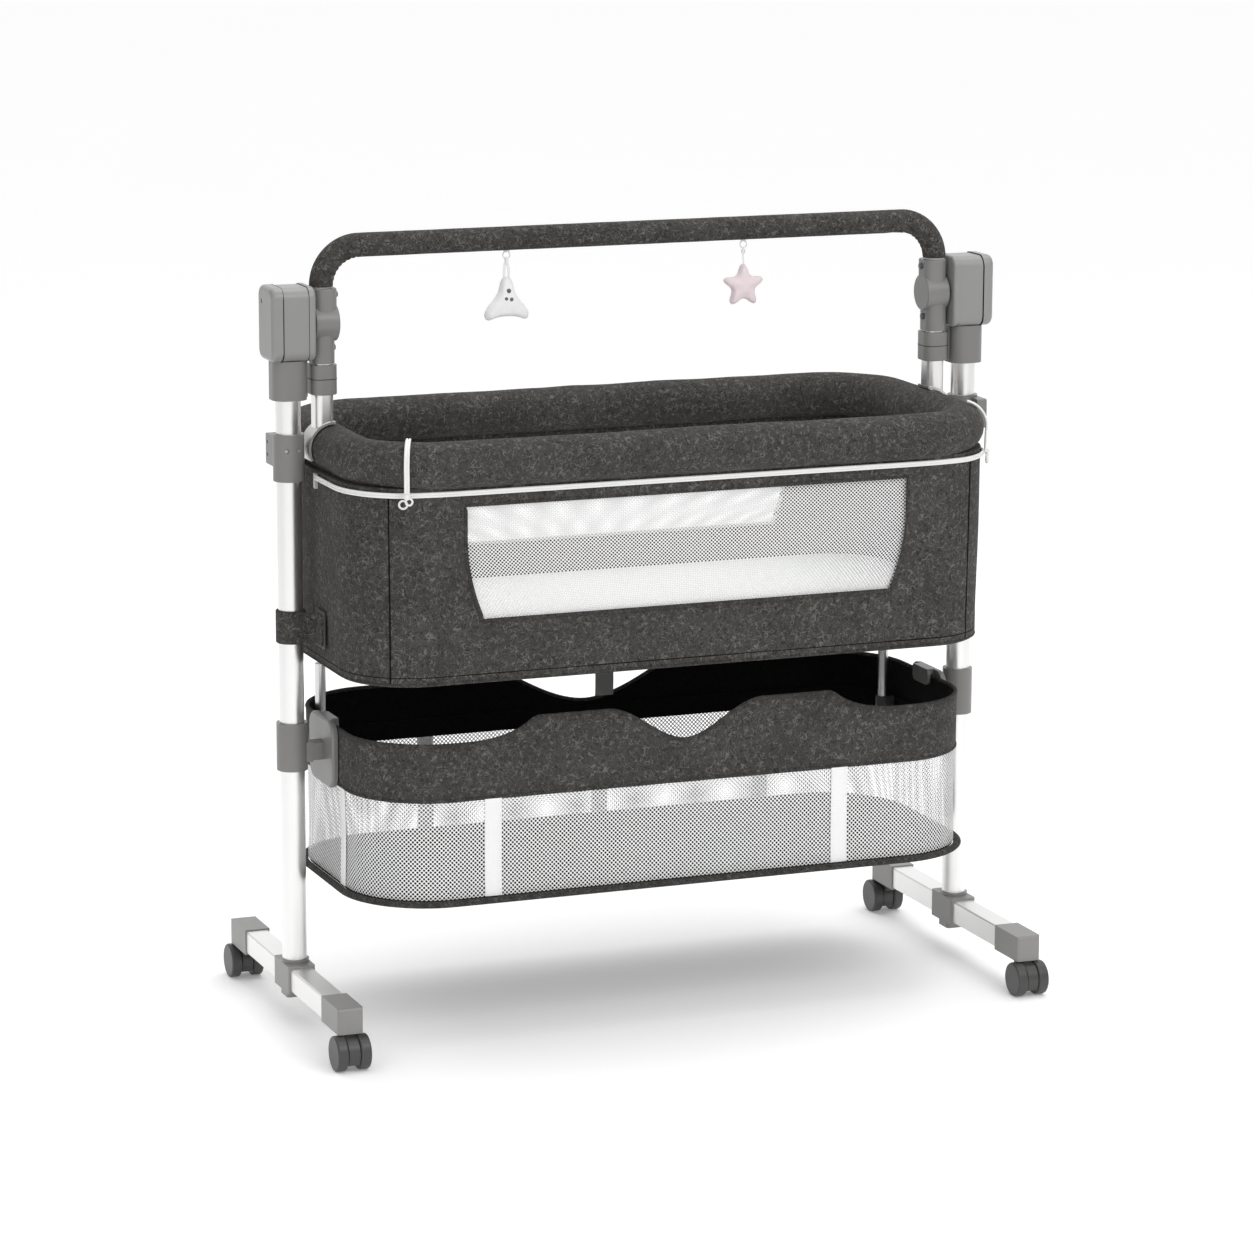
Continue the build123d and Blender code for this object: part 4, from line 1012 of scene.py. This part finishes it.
# %% [markdown]
# The toy bar wears a sleeve of the same heather fabric, with a seam along its underside, small
# gathers inside the bends and a turned hem at each end. A curve with a bevel gives the tube but no
# gathers. Rings along the bar's line can each have their own radius, so they make all three.

# %% Sleeve of the toy bar
BAR_X, BAR_Z, BAR_BEND, SLEEVE_LOW, SLEEVE_R = 0.425, 1.005, 0.050, 0.9545, 0.0153


def bar_points():
    """Line of the bar with the outward direction of its bend, from the left end to the right."""
    line, outs = [], []
    for k in range(3):
        line.append(Vector((-BAR_X, 0, SLEEVE_LOW + 0.0003 + k * 0.00005)))
        outs.append(Vector((-1, 0, 0)))
    for k in range(29):
        turn = math.pi / 2 * k / 28
        out = Vector((-math.cos(turn), 0, math.sin(turn)))
        line.append(Vector((-BAR_X + BAR_BEND, 0, BAR_Z - BAR_BEND)) + out * BAR_BEND)
        outs.append(out)
    for k in range(1, 60):
        line.append(Vector(((-BAR_X + BAR_BEND) * (1 - k / 30), 0, BAR_Z)))
        outs.append(Vector((0, 0, 1)))
    for k in range(29):
        turn = math.pi / 2 * (1 - k / 28)
        out = Vector((math.cos(turn), 0, math.sin(turn)))
        line.append(Vector((BAR_X - BAR_BEND, 0, BAR_Z - BAR_BEND)) + out * BAR_BEND)
        outs.append(out)
    return line, outs


bar_line, bar_outs = bar_points()
sleeve_rings = []
for i, (spot, out) in enumerate(zip(bar_line, bar_outs)):
    ring = []
    ends_in = min(i, len(bar_line) - 1 - i)
    for k in range(28):
        turn = 2 * math.pi * k / 28
        inner = max(0.0, -math.cos(turn))
        bent = 1.0 if 4 < ends_in < 31 else 0.0
        gather = math.sin(ends_in * 1.9) * 0.0005 * inner * bent
        lump = noise.noise((spot + Vector((k, 0, 0))) * 30) * 0.0002
        seam = 0.0009 if k == 14 else 0.0
        hem = 0.0006 if ends_in < 1 else 0.0
        radius = SLEEVE_R + gather + lump - seam - hem
        aside = Vector((0, 1, 0)) * radius * math.sin(turn)
        ring.append(spot + out * radius * math.cos(turn) + aside)
    sleeve_rings.append(ring)
sleeve = skin("toy_bar_cover", sleeve_rings, fabric)
tidy(sleeve, 50)
hand_over(sleeve, "toy_bar", "fabric_dark", "toy_bar_sleeve")

# %% [markdown]
# The toys are plush, which is soft and has no clear highlight. Hair particles would be slow for
# two such small pieces. Sheen for the pile, a fine noise in the bump and a slow one in the colour
# do as well. Their hangers are ribbon and clear white plastic.

# %% Plush
def plush(name, tone):
    graph = Graph(name, Roughness=0.95, Sheen_Weight=0.4, Sheen_Roughness=0.4)
    pile = graph.noise(graph.place, detail=2.0, scale=900.0)
    tuft = graph.noise(graph.place, detail=2.0, scale=160.0)
    graph.feed("Base Color", graph.mix(tuft, shaded(tone, 0.9), colour(*tone)))
    graph.bump(pile * 0.6 + tuft * 0.6, 0.5, 0.0007)
    return graph.material


white_plush = plush("white_plush", (0.86, 0.85, 0.85))
pink_plush = plush("pink_plush", (0.80, 0.69, 0.71))
ribbon_white = webbing("ribbon_white", (0.86, 0.86, 0.86), ribs=0.6 * MM)
clip_white = moulded("clip_white", (0.80, 0.80, 0.80), roughness=0.35)
stitch_grey = moulded("button_grey", (0.10, 0.10, 0.10), roughness=0.3)
print("plush", white_plush.name, pink_plush.name)

# %% [markdown]
# Two stuffed toys hang from the bar: a plain white triangle with drawn-in sides, and a pink star.
# A flat outline could be extruded, but its rim would stay a sharp edge. Each starts as one outline,
# smaller towards its two faces, and pressure in the cloth gives it its stuffed look.

# %% Blank of a toy
TOY_SECTION = ((-0.5, 0.72), (-0.42, 0.86), (-0.2, 0.97), (0.0, 1.0), (0.2, 0.97), (0.42, 0.86),
               (0.5, 0.72))


def toy_blank(name, outline, depth, place, material):
    """Outline in X and Z given thickness along Y, rounded towards its rim."""
    rings = []
    for y, shrink in TOY_SECTION:
        rings.append([Vector((x * shrink, y * depth, z * shrink)) for x, z in outline])
    blank = skin(name, rings, material)
    for vertex in blank.data.vertices:
        vertex.co += place
    return blank


def smooth_outline(corners, steps=9):
    """Quadratic curve through the middles of the runs between the corners."""
    line = []
    count = len(corners)
    for i in range(count):
        a, b, c = corners[i - 1], corners[i], corners[(i + 1) % count]
        start = ((a[0] + b[0]) / 2, (a[1] + b[1]) / 2)
        end = ((b[0] + c[0]) / 2, (b[1] + c[1]) / 2)
        for k in range(steps):
            t = k / steps
            line.append(tuple((1 - t) ** 2 * start[m] + 2 * t * (1 - t) * b[m] + t * t * end[m]
                              for m in range(2)))
    return line


def stuff(toy, voxel):
    """Fill the blank out and smooth it all over."""
    tidy(toy, 180)
    fill_out(toy, voxel, 6.0, 0.0022)
    tidy(toy, 180)


print("toy blank ready")

# %% [markdown]
# The triangle's corners are listed from its top, one half the mirror of the other. The star's are
# worked out: five long arms, each with a blunt end of two corners, and five short ones between.

# %% Triangle and star
TRIANGLE_AT = Vector((-0.177, 0.0, 0.924))
STAR_AT = Vector((0.151, 0.0, 0.9295))
triangle_corners = [(0.0, 0.033), (-0.007, 0.030), (-0.012, 0.009), (-0.032, -0.013),
                    (-0.028, -0.026), (-0.014, -0.020), (0.014, -0.020), (0.028, -0.026),
                    (0.032, -0.013), (0.012, 0.009), (0.007, 0.030)]
triangle = toy_blank("triangle_toy_body", smooth_outline(triangle_corners), 0.017, TRIANGLE_AT,
                     white_plush)
stuff(triangle, 0.0016)
hand_over(triangle, "triangle_toy", "toy_white", "toy_triangle")

ARM, NOTCH, BLUNT = 0.0295, 0.0145, 7
star_corners = []
for k in range(10):
    reach, spreads = (ARM, (-BLUNT, BLUNT)) if k % 2 == 0 else (NOTCH, (0,))
    for spread in spreads:
        turn = math.radians(90 + 36 * k) + math.radians(spread)
        star_corners.append((reach * math.cos(turn), reach * math.sin(turn)))
star = toy_blank("star_toy_body", smooth_outline(star_corners, 6), 0.016, STAR_AT, pink_plush)
stuff(star, 0.0014)
hand_over(star, "star_toy", "toy_pink", "toy_star")

# %% [markdown]
# Rings, loops and beads repeat on the toys and on the cord. Each is a primitive set to its own
# size, stretched to the oval or flattened shape of the real one, and then applied, so that its
# place is in its mesh.

# %% Rings and beads
def torus_piece(name, place, major, minor, turn, material, stretch=(1, 1, 1)):
    bpy.ops.mesh.primitive_torus_add(major_radius=major, minor_radius=minor, major_segments=28,
                                     minor_segments=10, location=place, rotation=turn)
    piece = bpy.context.object
    piece.scale = stretch
    bpy.ops.object.transform_apply(location=True, rotation=True, scale=True)
    piece.name = name
    piece.data.materials.append(material)
    bpy.ops.object.shade_smooth()
    return piece


def bead(name, place, radius, flat, material):
    bpy.ops.mesh.primitive_uv_sphere_add(segments=16, ring_count=10, radius=radius, location=place)
    piece = bpy.context.object
    piece.scale = (1, flat, 1)
    bpy.ops.object.transform_apply(location=True, rotation=True, scale=True)
    piece.name = name
    piece.data.materials.append(material)
    bpy.ops.object.shade_smooth()
    return piece


facing = (math.pi / 2, 0, 0)
RING_Z = 0.9835
for toy, where in (("triangle", TRIANGLE_AT), ("star", STAR_AT)):
    ring = torus_piece(f"{toy}_ring", (where.x, 0, RING_Z), 0.0046, 0.0009, facing, clip_white)
    hand_over(ring, f"{toy}_toy", "cord_white")

# %% [markdown]
# The triangle hangs on a doubled ribbon and the star on a thin cord with a clip. A simulation
# would only pull them straight, so they are short sweeps with a slight bow. Three plain beads on
# the triangle and a stitched panel on the star finish them.

# %% Hangers and details of the toys

outward = Vector((0, -1, 0))
RIBBON_LOW, RIBBON_HIGH = 0.9525, 0.981
loops = []
for lean in (-1, 1):
    line = []
    for k in range(11):
        bow = 0.0008 + 0.0022 * math.sin(math.pi * min(1.0, k / 9 + 0.15))
        line.append(Vector((TRIANGLE_AT.x + lean * bow, -lean * 0.0006,
                            RIBBON_LOW + (RIBBON_HIGH - RIBBON_LOW) * k / 10)))
    loops.append(sweep(f"ribbon_{lean}", line, lambda i: outward, flat_profile(0.0008, 0.0036),
                       False, ribbon_white))
ribbon = join("triangle_ribbon", loops)
hand_over(ribbon, "triangle_toy", "cord_white")
HANGER_LOW, HANGER_HIGH = 0.9555, 0.980
hanger_line = [Vector((STAR_AT.x + 0.0004 * math.sin(k), 0,
                       HANGER_LOW + (HANGER_HIGH - HANGER_LOW) * k / 8)) for k in range(9)]
star_cord = sweep("star_hanger", hanger_line, lambda i: outward, round_profile(0.0010, 8), False,
                  ribbon_white)
hand_over(star_cord, "star_toy", "cord_white")
star_clip = torus_piece("star_clip", (STAR_AT.x, 0, 0.9745), 0.0026, 0.0011, facing, clip_white,
                        (0.8, 1, 1.5))
hand_over(star_clip, "star_toy", "cord_white")
beads = []
for k, (x, z) in enumerate(((0.0, 0.0145), (-0.0035, 0.0045), (0.0035, 0.0035))):
    spot = (TRIANGLE_AT.x + x, -0.0092, TRIANGLE_AT.z + z)
    beads.append(bead(f"bead_{k}", spot, 0.0031, 0.45, stitch_grey))
toy_beads = join("triangle_beads", beads)
hand_over(toy_beads, "triangle_toy", "toy_white")
panel = torus_piece("star_stitching", (STAR_AT.x, -0.0083, STAR_AT.z), 0.0088, 0.0005, facing,
                    ribbon_white)
hand_over(panel, "star_toy", "toy_pink")
for bar_x, name in ((TRIANGLE_AT.x, "triangle_tab"), (STAR_AT.x, "star_tab")):
    line = [Vector((bar_x, 0, 0.9885 + 0.0022 * k / 4)) for k in range(5)]
    tab = sweep(name, line, lambda i: outward, flat_profile(0.0024, 0.0085), False, ribbon_white)
    hand_over(tab, "toy_bar", "cord_white")

# %% [markdown]
# Fine dark lines show where the moulded shells meet: round each drive box on both sides of its
# middle shell, and round the collar on each hanging tube. They are thin dark tubes half sunk in
# the plastic, as the frame's own mesh is left alone. A white ring closes each end of the sleeve.

# %% Joint lines and end rings
def upright_line(x, half_y, low, high, corner, steps=8):
    """Rounded rectangle standing across X, and the directions outwards."""
    line, outs = [], []
    middle, half_z = (low + high) / 2, (high - low) / 2
    for k in range(4 * steps):
        quarter, part = divmod(k, steps)
        turn = math.pi / 2 * (quarter + part / (steps - 1))
        away = Vector((0.0, math.cos(turn), math.sin(turn)))
        corner_y = (half_y - corner) * (1 if quarter in (0, 3) else -1)
        corner_z = (half_z - corner) * (1 if quarter in (0, 1) else -1)
        line.append(Vector((x, corner_y, middle + corner_z)) + away * corner)
        outs.append(away)
    return line, outs


BOX_HALF, BOX_LOW, BOX_HIGH, BOX_CORNER = 0.0301, 0.8638, 0.9572, 0.0138
joints = []
for side in (-1, 1):
    for x, thick in ((0.4842, 0.0011), (0.4498, 0.0006)):
        line, outs = upright_line(side * x, BOX_HALF, BOX_LOW, BOX_HIGH, BOX_CORNER)
        joints.append(sweep(f"box_line_{side}_{x}", line, lambda i: outs[i],
                            round_profile(thick, 6), True, lining))
box_lines = join("box_joint_lines", joints)
hand_over(box_lines, "stand", "dark_plastic")
COLLAR_PLAN, COLLAR_JOINT, COLLAR_COUNT = (0.0171, 0.0191, 0.0121), 0.8385, 48
collar_lines = []
for side in (-1, 1):
    line = [spot + Vector((side * BAR_X, 0, 0))
            for spot in plan_line(*COLLAR_PLAN, COLLAR_JOINT, COLLAR_COUNT)]
    collar_lines.append(sweep(f"collar_line_{side}", line, plan_outs(*COLLAR_PLAN, COLLAR_COUNT),
                              round_profile(0.0004, 6), True, lining))
tube_collar_lines = join("collar_joint_lines", collar_lines)
hand_over(tube_collar_lines, "cradle", "dark_plastic")
end_rings = [torus_piece(f"end_ring_{side}", (side * BAR_X, 0, 0.9541), 0.0132, 0.0010, (0, 0, 0),
                         clip_white) for side in (-1, 1)]
bar_rings = join("sleeve_end_rings", end_rings)
hand_over(bar_rings, "toy_bar", "cord_white")

# %% [markdown]
# A flat white double cord runs along the front under the roll, from a hook on each end of the bed.
# A line of arcs and straight runs would look like bent wire. The route is a smooth curve with a
# few control points instead, and the points that the cord's mesh follows are read from it.

# %% Route of the cord
CORD_X, CORD_Y, CORD_Z, CORD_EXIT = 0.4424, -0.1974, 0.7158, -0.022
half_route = [(CORD_X, CORD_EXIT), (CORD_X, -0.070), (CORD_X, -0.1255), (0.4161, -0.1711),
              (0.3705, CORD_Y), (0.200, CORD_Y)]
ROUTE = [(-x, y) for x, y in half_route] + [(0.0, CORD_Y)] + half_route[::-1]


def curve_points(name, points, detail=14):
    """Points along a smooth curve with these control points."""
    data = bpy.data.curves.new(name, "CURVE")
    data.dimensions = "3D"
    data.resolution_u = detail
    spline = data.splines.new("NURBS")
    spline.points.add(len(points) - 1)
    for point, place in zip(spline.points, points):
        point.co = (*place, 1.0)
    spline.order_u = 3
    spline.use_endpoint_u = True
    holder = bpy.data.objects.new(name, data)
    mesh = bpy.data.meshes.new_from_object(holder)
    line = [v.co.copy() for v in mesh.vertices]
    bpy.data.objects.remove(holder)
    bpy.data.meshes.remove(mesh)
    return line


cord_line = curve_points("cord_route", [(x, y, CORD_Z) for x, y in ROUTE])

# %% [markdown]
# The cord is a pair of strands side by side, soft and ribbed like webbing. Two separate tubes
# would need a gap between them. One section in the shape of an eight keeps the pair together all
# along. Taut between its hooks it has no sag to speak of.

# %% Cord under the roll
braid = webbing("white_cord", (0.87, 0.87, 0.86), ribs=0.9 * MM, dark=0.82)
STRAND = 0.0017
lower_strand = [(STRAND * math.cos(a) * 0.95, -0.0018 + STRAND * math.sin(a)) for a in
                [math.radians(d) for d in (75, 30, 0, -45, -90, -135, 180, 150, 105)]]
cord_profile = lower_strand + [(u, -v) for u, v in reversed(lower_strand)]


def outward_from(line):
    """Straight out from the sides, and away from the corner's middle at a corner."""
    outs = []
    for spot in line:
        x = max(abs(spot.x) - (BODY_A - BODY_CORNER), 0.0) * (1 if spot.x > 0 else -1)
        y = min(spot.y + (BODY_B - BODY_CORNER), 0.0)
        outs.append(Vector((x, y, 0)).normalized())
    return lambda i: outs[i]


cord = sweep("rim_cord_twin", cord_line, outward_from(cord_line), cord_profile, False, braid)
hand_over(cord, "cradle", "cord_white", "rim_cord")

# %% [markdown]
# Two ties of the same cord pass over the roll, one near each front corner, and come down to the
# cord. They lie on the roll, so their line is the roll's own section, a little larger, and then
# straight down. Each ends in two small loops and a knot, which are plain shapes where a real knot
# would be hard to read at its size.

# %% Ties over the roll
TIE_REACH = 0.0331          # from the roll's middle to the tie
TIE_LEAVES = -12.0          # degrees below level where the tie leaves the roll


def tie(name, middle, out, start):
    """From the top of the roll, over its front, then straight down to the cord."""
    line, outs = [], []
    for k in range(22):
        turn = math.radians(start + (TIE_LEAVES - start) * k / 21)
        away = out * math.cos(turn) + Vector((0, 0, 1)) * math.sin(turn)
        line.append(middle + away * TIE_REACH)
        outs.append(away)
    last = line[-1]
    for k in range(1, 9):
        line.append(last + Vector((0, 0, -0.0035 * k)) - out * (0.0001 * k))
        outs.append(out)
    return sweep(name, line, lambda i: outs[i], cord_profile, False, braid), line[-1]


def loops_at(name, place, out):
    """Two small loops and the knot where the tie meets the cord."""
    aside = Vector((0, 0, 1)).cross(out)
    turn = math.atan2(out.x, -out.y)
    parts = []
    for k, (across, drop, size) in enumerate(((-0.0046, 0.0078, 1.25), (0.0028, 0.0040, 1.05))):
        spot = place + aside * across + Vector((0, 0, -drop)) + out * (0.0022 + 0.0012 * k)
        loop = torus_piece(f"{name}_{k}", (0, 0, 0), 0.0040 * size, 0.0013, facing, braid,
                           (1, 1, 1.5))
        loop.rotation_euler = (0, 0, turn)
        loop.location = spot
        pick(loop)
        bpy.ops.object.transform_apply(location=True, rotation=True, scale=True)
        parts.append(loop)
    knot_at = place + out * 0.0022 + Vector((0, 0, 0.0015))
    parts.append(bead(f"{name}_knot", knot_at, 0.0040, 0.8, braid))
    return parts


tie_parts = []
for name, right, turn, start, lean in (("tie_left", -1, 31.0, 93.0, 0.14),
                                       ("tie_right", 1, 68.0, 78.0, 0.0)):
    angle = math.radians(turn)
    out = Vector((right * math.sin(angle), -math.cos(angle), 0.0))
    corner = Vector((right * (RIM_A - RIM_CORNER), -(RIM_B - RIM_CORNER), RIM_Z))
    middle = corner + out * RIM_CORNER
    out = (out + Vector((-lean * out.y, lean * out.x, 0.0))).normalized()
    piece, foot = tie(name, middle, out, start)
    tie_parts.append(piece)
    tie_parts += loops_at(name + "_loop", foot, out)
ties = join("roll_ties", tie_parts)
hand_over(ties, "cradle", "cord_white", "roll_tie")

# %% [markdown]
# A strap goes round each post, with its tail lying on a patch sewn to the end of the bed. The loop
# is a flat section swept round a circle a little wider than the post, and the tail a sweep whose
# outward direction turns as it leaves the post and lies down on the patch.

# %% Straps round the posts
POST_X, STRAP_Z, LOOP_R = 0.470, 0.5225, 0.0176
straps, patches = [], []
for side in (-1, 1):
    middle = Vector((side * POST_X, 0.0, STRAP_Z))
    ring_line, ring_out = [], []
    for k in range(40):
        turn = 2 * math.pi * k / 40
        ring_out.append(Vector((math.cos(turn), math.sin(turn), 0.0)))
        ring_line.append(middle + ring_out[-1] * LOOP_R)
    straps.append(sweep(f"strap_loop_{side}", ring_line, lambda i: ring_out[i],
                        flat_profile(0.0028, 0.0425, 0.4), True, fabric))
    tail = [(POST_X, -0.0180, 0, -1), (0.4600, -0.0182, 0, -1), (0.4510, -0.0184, 0, -1),
            (0.4460, -0.0205, 0.7, -0.7), (0.4437, -0.0250, 1, 0), (0.4432, -0.0330, 1, 0),
            (0.4431, -0.0400, 1, 0), (0.4431, -0.0478, 1, 0)]
    tail_line = [Vector((side * x, y, STRAP_Z)) for x, y, _, _ in tail]
    tail_out = [Vector((side * u, v, 0.0)) for _, _, u, v in tail]
    straps.append(sweep(f"strap_tail_{side}", tail_line, lambda i: tail_out[i],
                        flat_profile(0.0024, 0.0395, 0.4), False, fabric))
    patch_line = [Vector((side * 0.4406, -0.052 + 0.040 * k / 6, STRAP_Z)) for k in range(7)]
    patch_out = Vector((side, 0.0, 0.0))
    patches.append(sweep(f"patch_{side}", patch_line, lambda i: patch_out,
                         flat_profile(0.0016, 0.0485, 0.4), False, dark_webbing))
post_straps = join("post_strap_cloth", straps)
hand_over(post_straps, "stand", "webbing_grey", "post_straps")
strap_patches = join("strap_patch_cloth", patches)
hand_over(strap_patches, "cradle", "webbing_grey", "strap_patches")

# %% [markdown]
# A grey strap hangs below the bed. Only its own weight acts on it, so it is nearly straight, with
# a slight wave that keeps it from looking like a board.

# %% Hanging strap
HANG_TOP, HANG_RUN = 0.4715, 0.0990
hang_line = [Vector((0.0, 0.108 + 0.0012 * math.sin(k * 0.5), HANG_TOP - HANG_RUN * k / 12))
             for k in range(13)]
hanging_strap = sweep("hanging_strap_cloth", hang_line, lambda i: outward,
                      flat_profile(0.0016, 0.026), False, grey_webbing)
hand_over(hanging_strap, "cradle", "webbing_grey", "hanging_strap")

# %% [markdown]
# The bassinet stands on a pale floor without an edge. A curved backdrop would do for one view, but
# the piece is looked at from all sides, so the floor is simply large, with a little light of its
# own to keep it as pale as the surround.

# %% Floor
bpy.ops.mesh.primitive_plane_add(size=60.0, location=(0, 0, 0))
floor = bpy.context.object
floor.name = "floor"
floor_paint = Graph("floor_white", Roughness=0.9, Specular_IOR_Level=0.1,
                    Emission_Color=colour(1, 1, 1), Emission_Strength=0.15)
floor_cloud = floor_paint.noise(floor_paint.place, detail=2.0, scale=1.5)
floor_paint.feed("Base Color", floor_paint.mix(floor_cloud, colour(0.955, 0.955, 0.955),
                                               colour(0.97, 0.97, 0.97)))
floor.data.materials.append(floor_paint.material)
print("floor", floor.name)

# %% [markdown]
# Small lamps give hard shadows and sharp spots on the plastic. Two large ones, in front and above,
# give the soft shadow under the basket and the broad highlights on the posts.

# %% Lamps
def soft_light(name, place, aim, size, power):
    data = bpy.data.lights.new(name, "AREA")
    data.shape = "RECTANGLE"
    data.size, data.size_y = size
    data.energy = power
    light = bpy.data.objects.new(name, data)
    bpy.context.scene.collection.objects.link(light)
    light.location = place
    light.rotation_euler = (Vector(aim) - Vector(place)).to_track_quat("-Z", "Y").to_euler()


soft_light("key", (0.9, -3.0, 3.2), (0, 0, 0.6), (2.4, 1.6), 38)
soft_light("top", (0.4, 0.6, 3.6), (0, 0, 0.5), (3.0, 2.2), 42)
print("lamps", len(bpy.data.lights))

# %% [markdown]
# Bare metal shows what stands round it, and in an all-white room it looks flat. The surround is
# white, but darker towards its two sides, so the posts get dark edges. A ray straight from the
# camera always finds it white, so the darker sides are seen only in the metal.

# %% Surround
world = bpy.data.worlds.new("studio")
world.use_nodes = True
sky = world.node_tree
SIDEWAYS = (-0.93, 0.367, 0.0)
DARK_FROM, DARK_FULL, DARK_SIDE = 0.62, 0.80, 0.22
direction = sky.nodes.new("ShaderNodeTexCoord").outputs["Generated"]
sideways = sky.nodes.new("ShaderNodeVectorMath")
sideways.operation = "DOT_PRODUCT"
sky.links.new(direction, sideways.inputs[0])
sideways.inputs[1].default_value = SIDEWAYS
either = sky.nodes.new("ShaderNodeMath")
either.operation = "ABSOLUTE"
sky.links.new(sideways.outputs["Value"], either.inputs[0])
shade = sky.nodes.new("ShaderNodeMapRange")
shade.interpolation_type = "SMOOTHSTEP"
for key, value in (("From Min", DARK_FROM), ("From Max", DARK_FULL),
                   ("To Min", 1.0), ("To Max", DARK_SIDE)):
    shade.inputs[key].default_value = value
sky.links.new(either.outputs["Value"], shade.inputs["Value"])
background = sky.nodes["Background"]
background.inputs["Color"].default_value = (1, 1, 1, 1)
seen = sky.nodes.new("ShaderNodeLightPath")
strength = sky.nodes.new("ShaderNodeMath")
strength.operation = "MAXIMUM"
sky.links.new(shade.outputs["Result"], strength.inputs[0])
sky.links.new(seen.outputs["Is Camera Ray"], strength.inputs[1])
sky.links.new(strength.outputs["Value"], background.inputs["Strength"])
bpy.context.scene.world = world
bpy.context.scene.view_settings.view_transform = "Standard"
print("surround", world.name)

# %% [markdown]
# Last, the view layer is brought up to date.

# %% Update the view layer
bpy.context.view_layer.update()
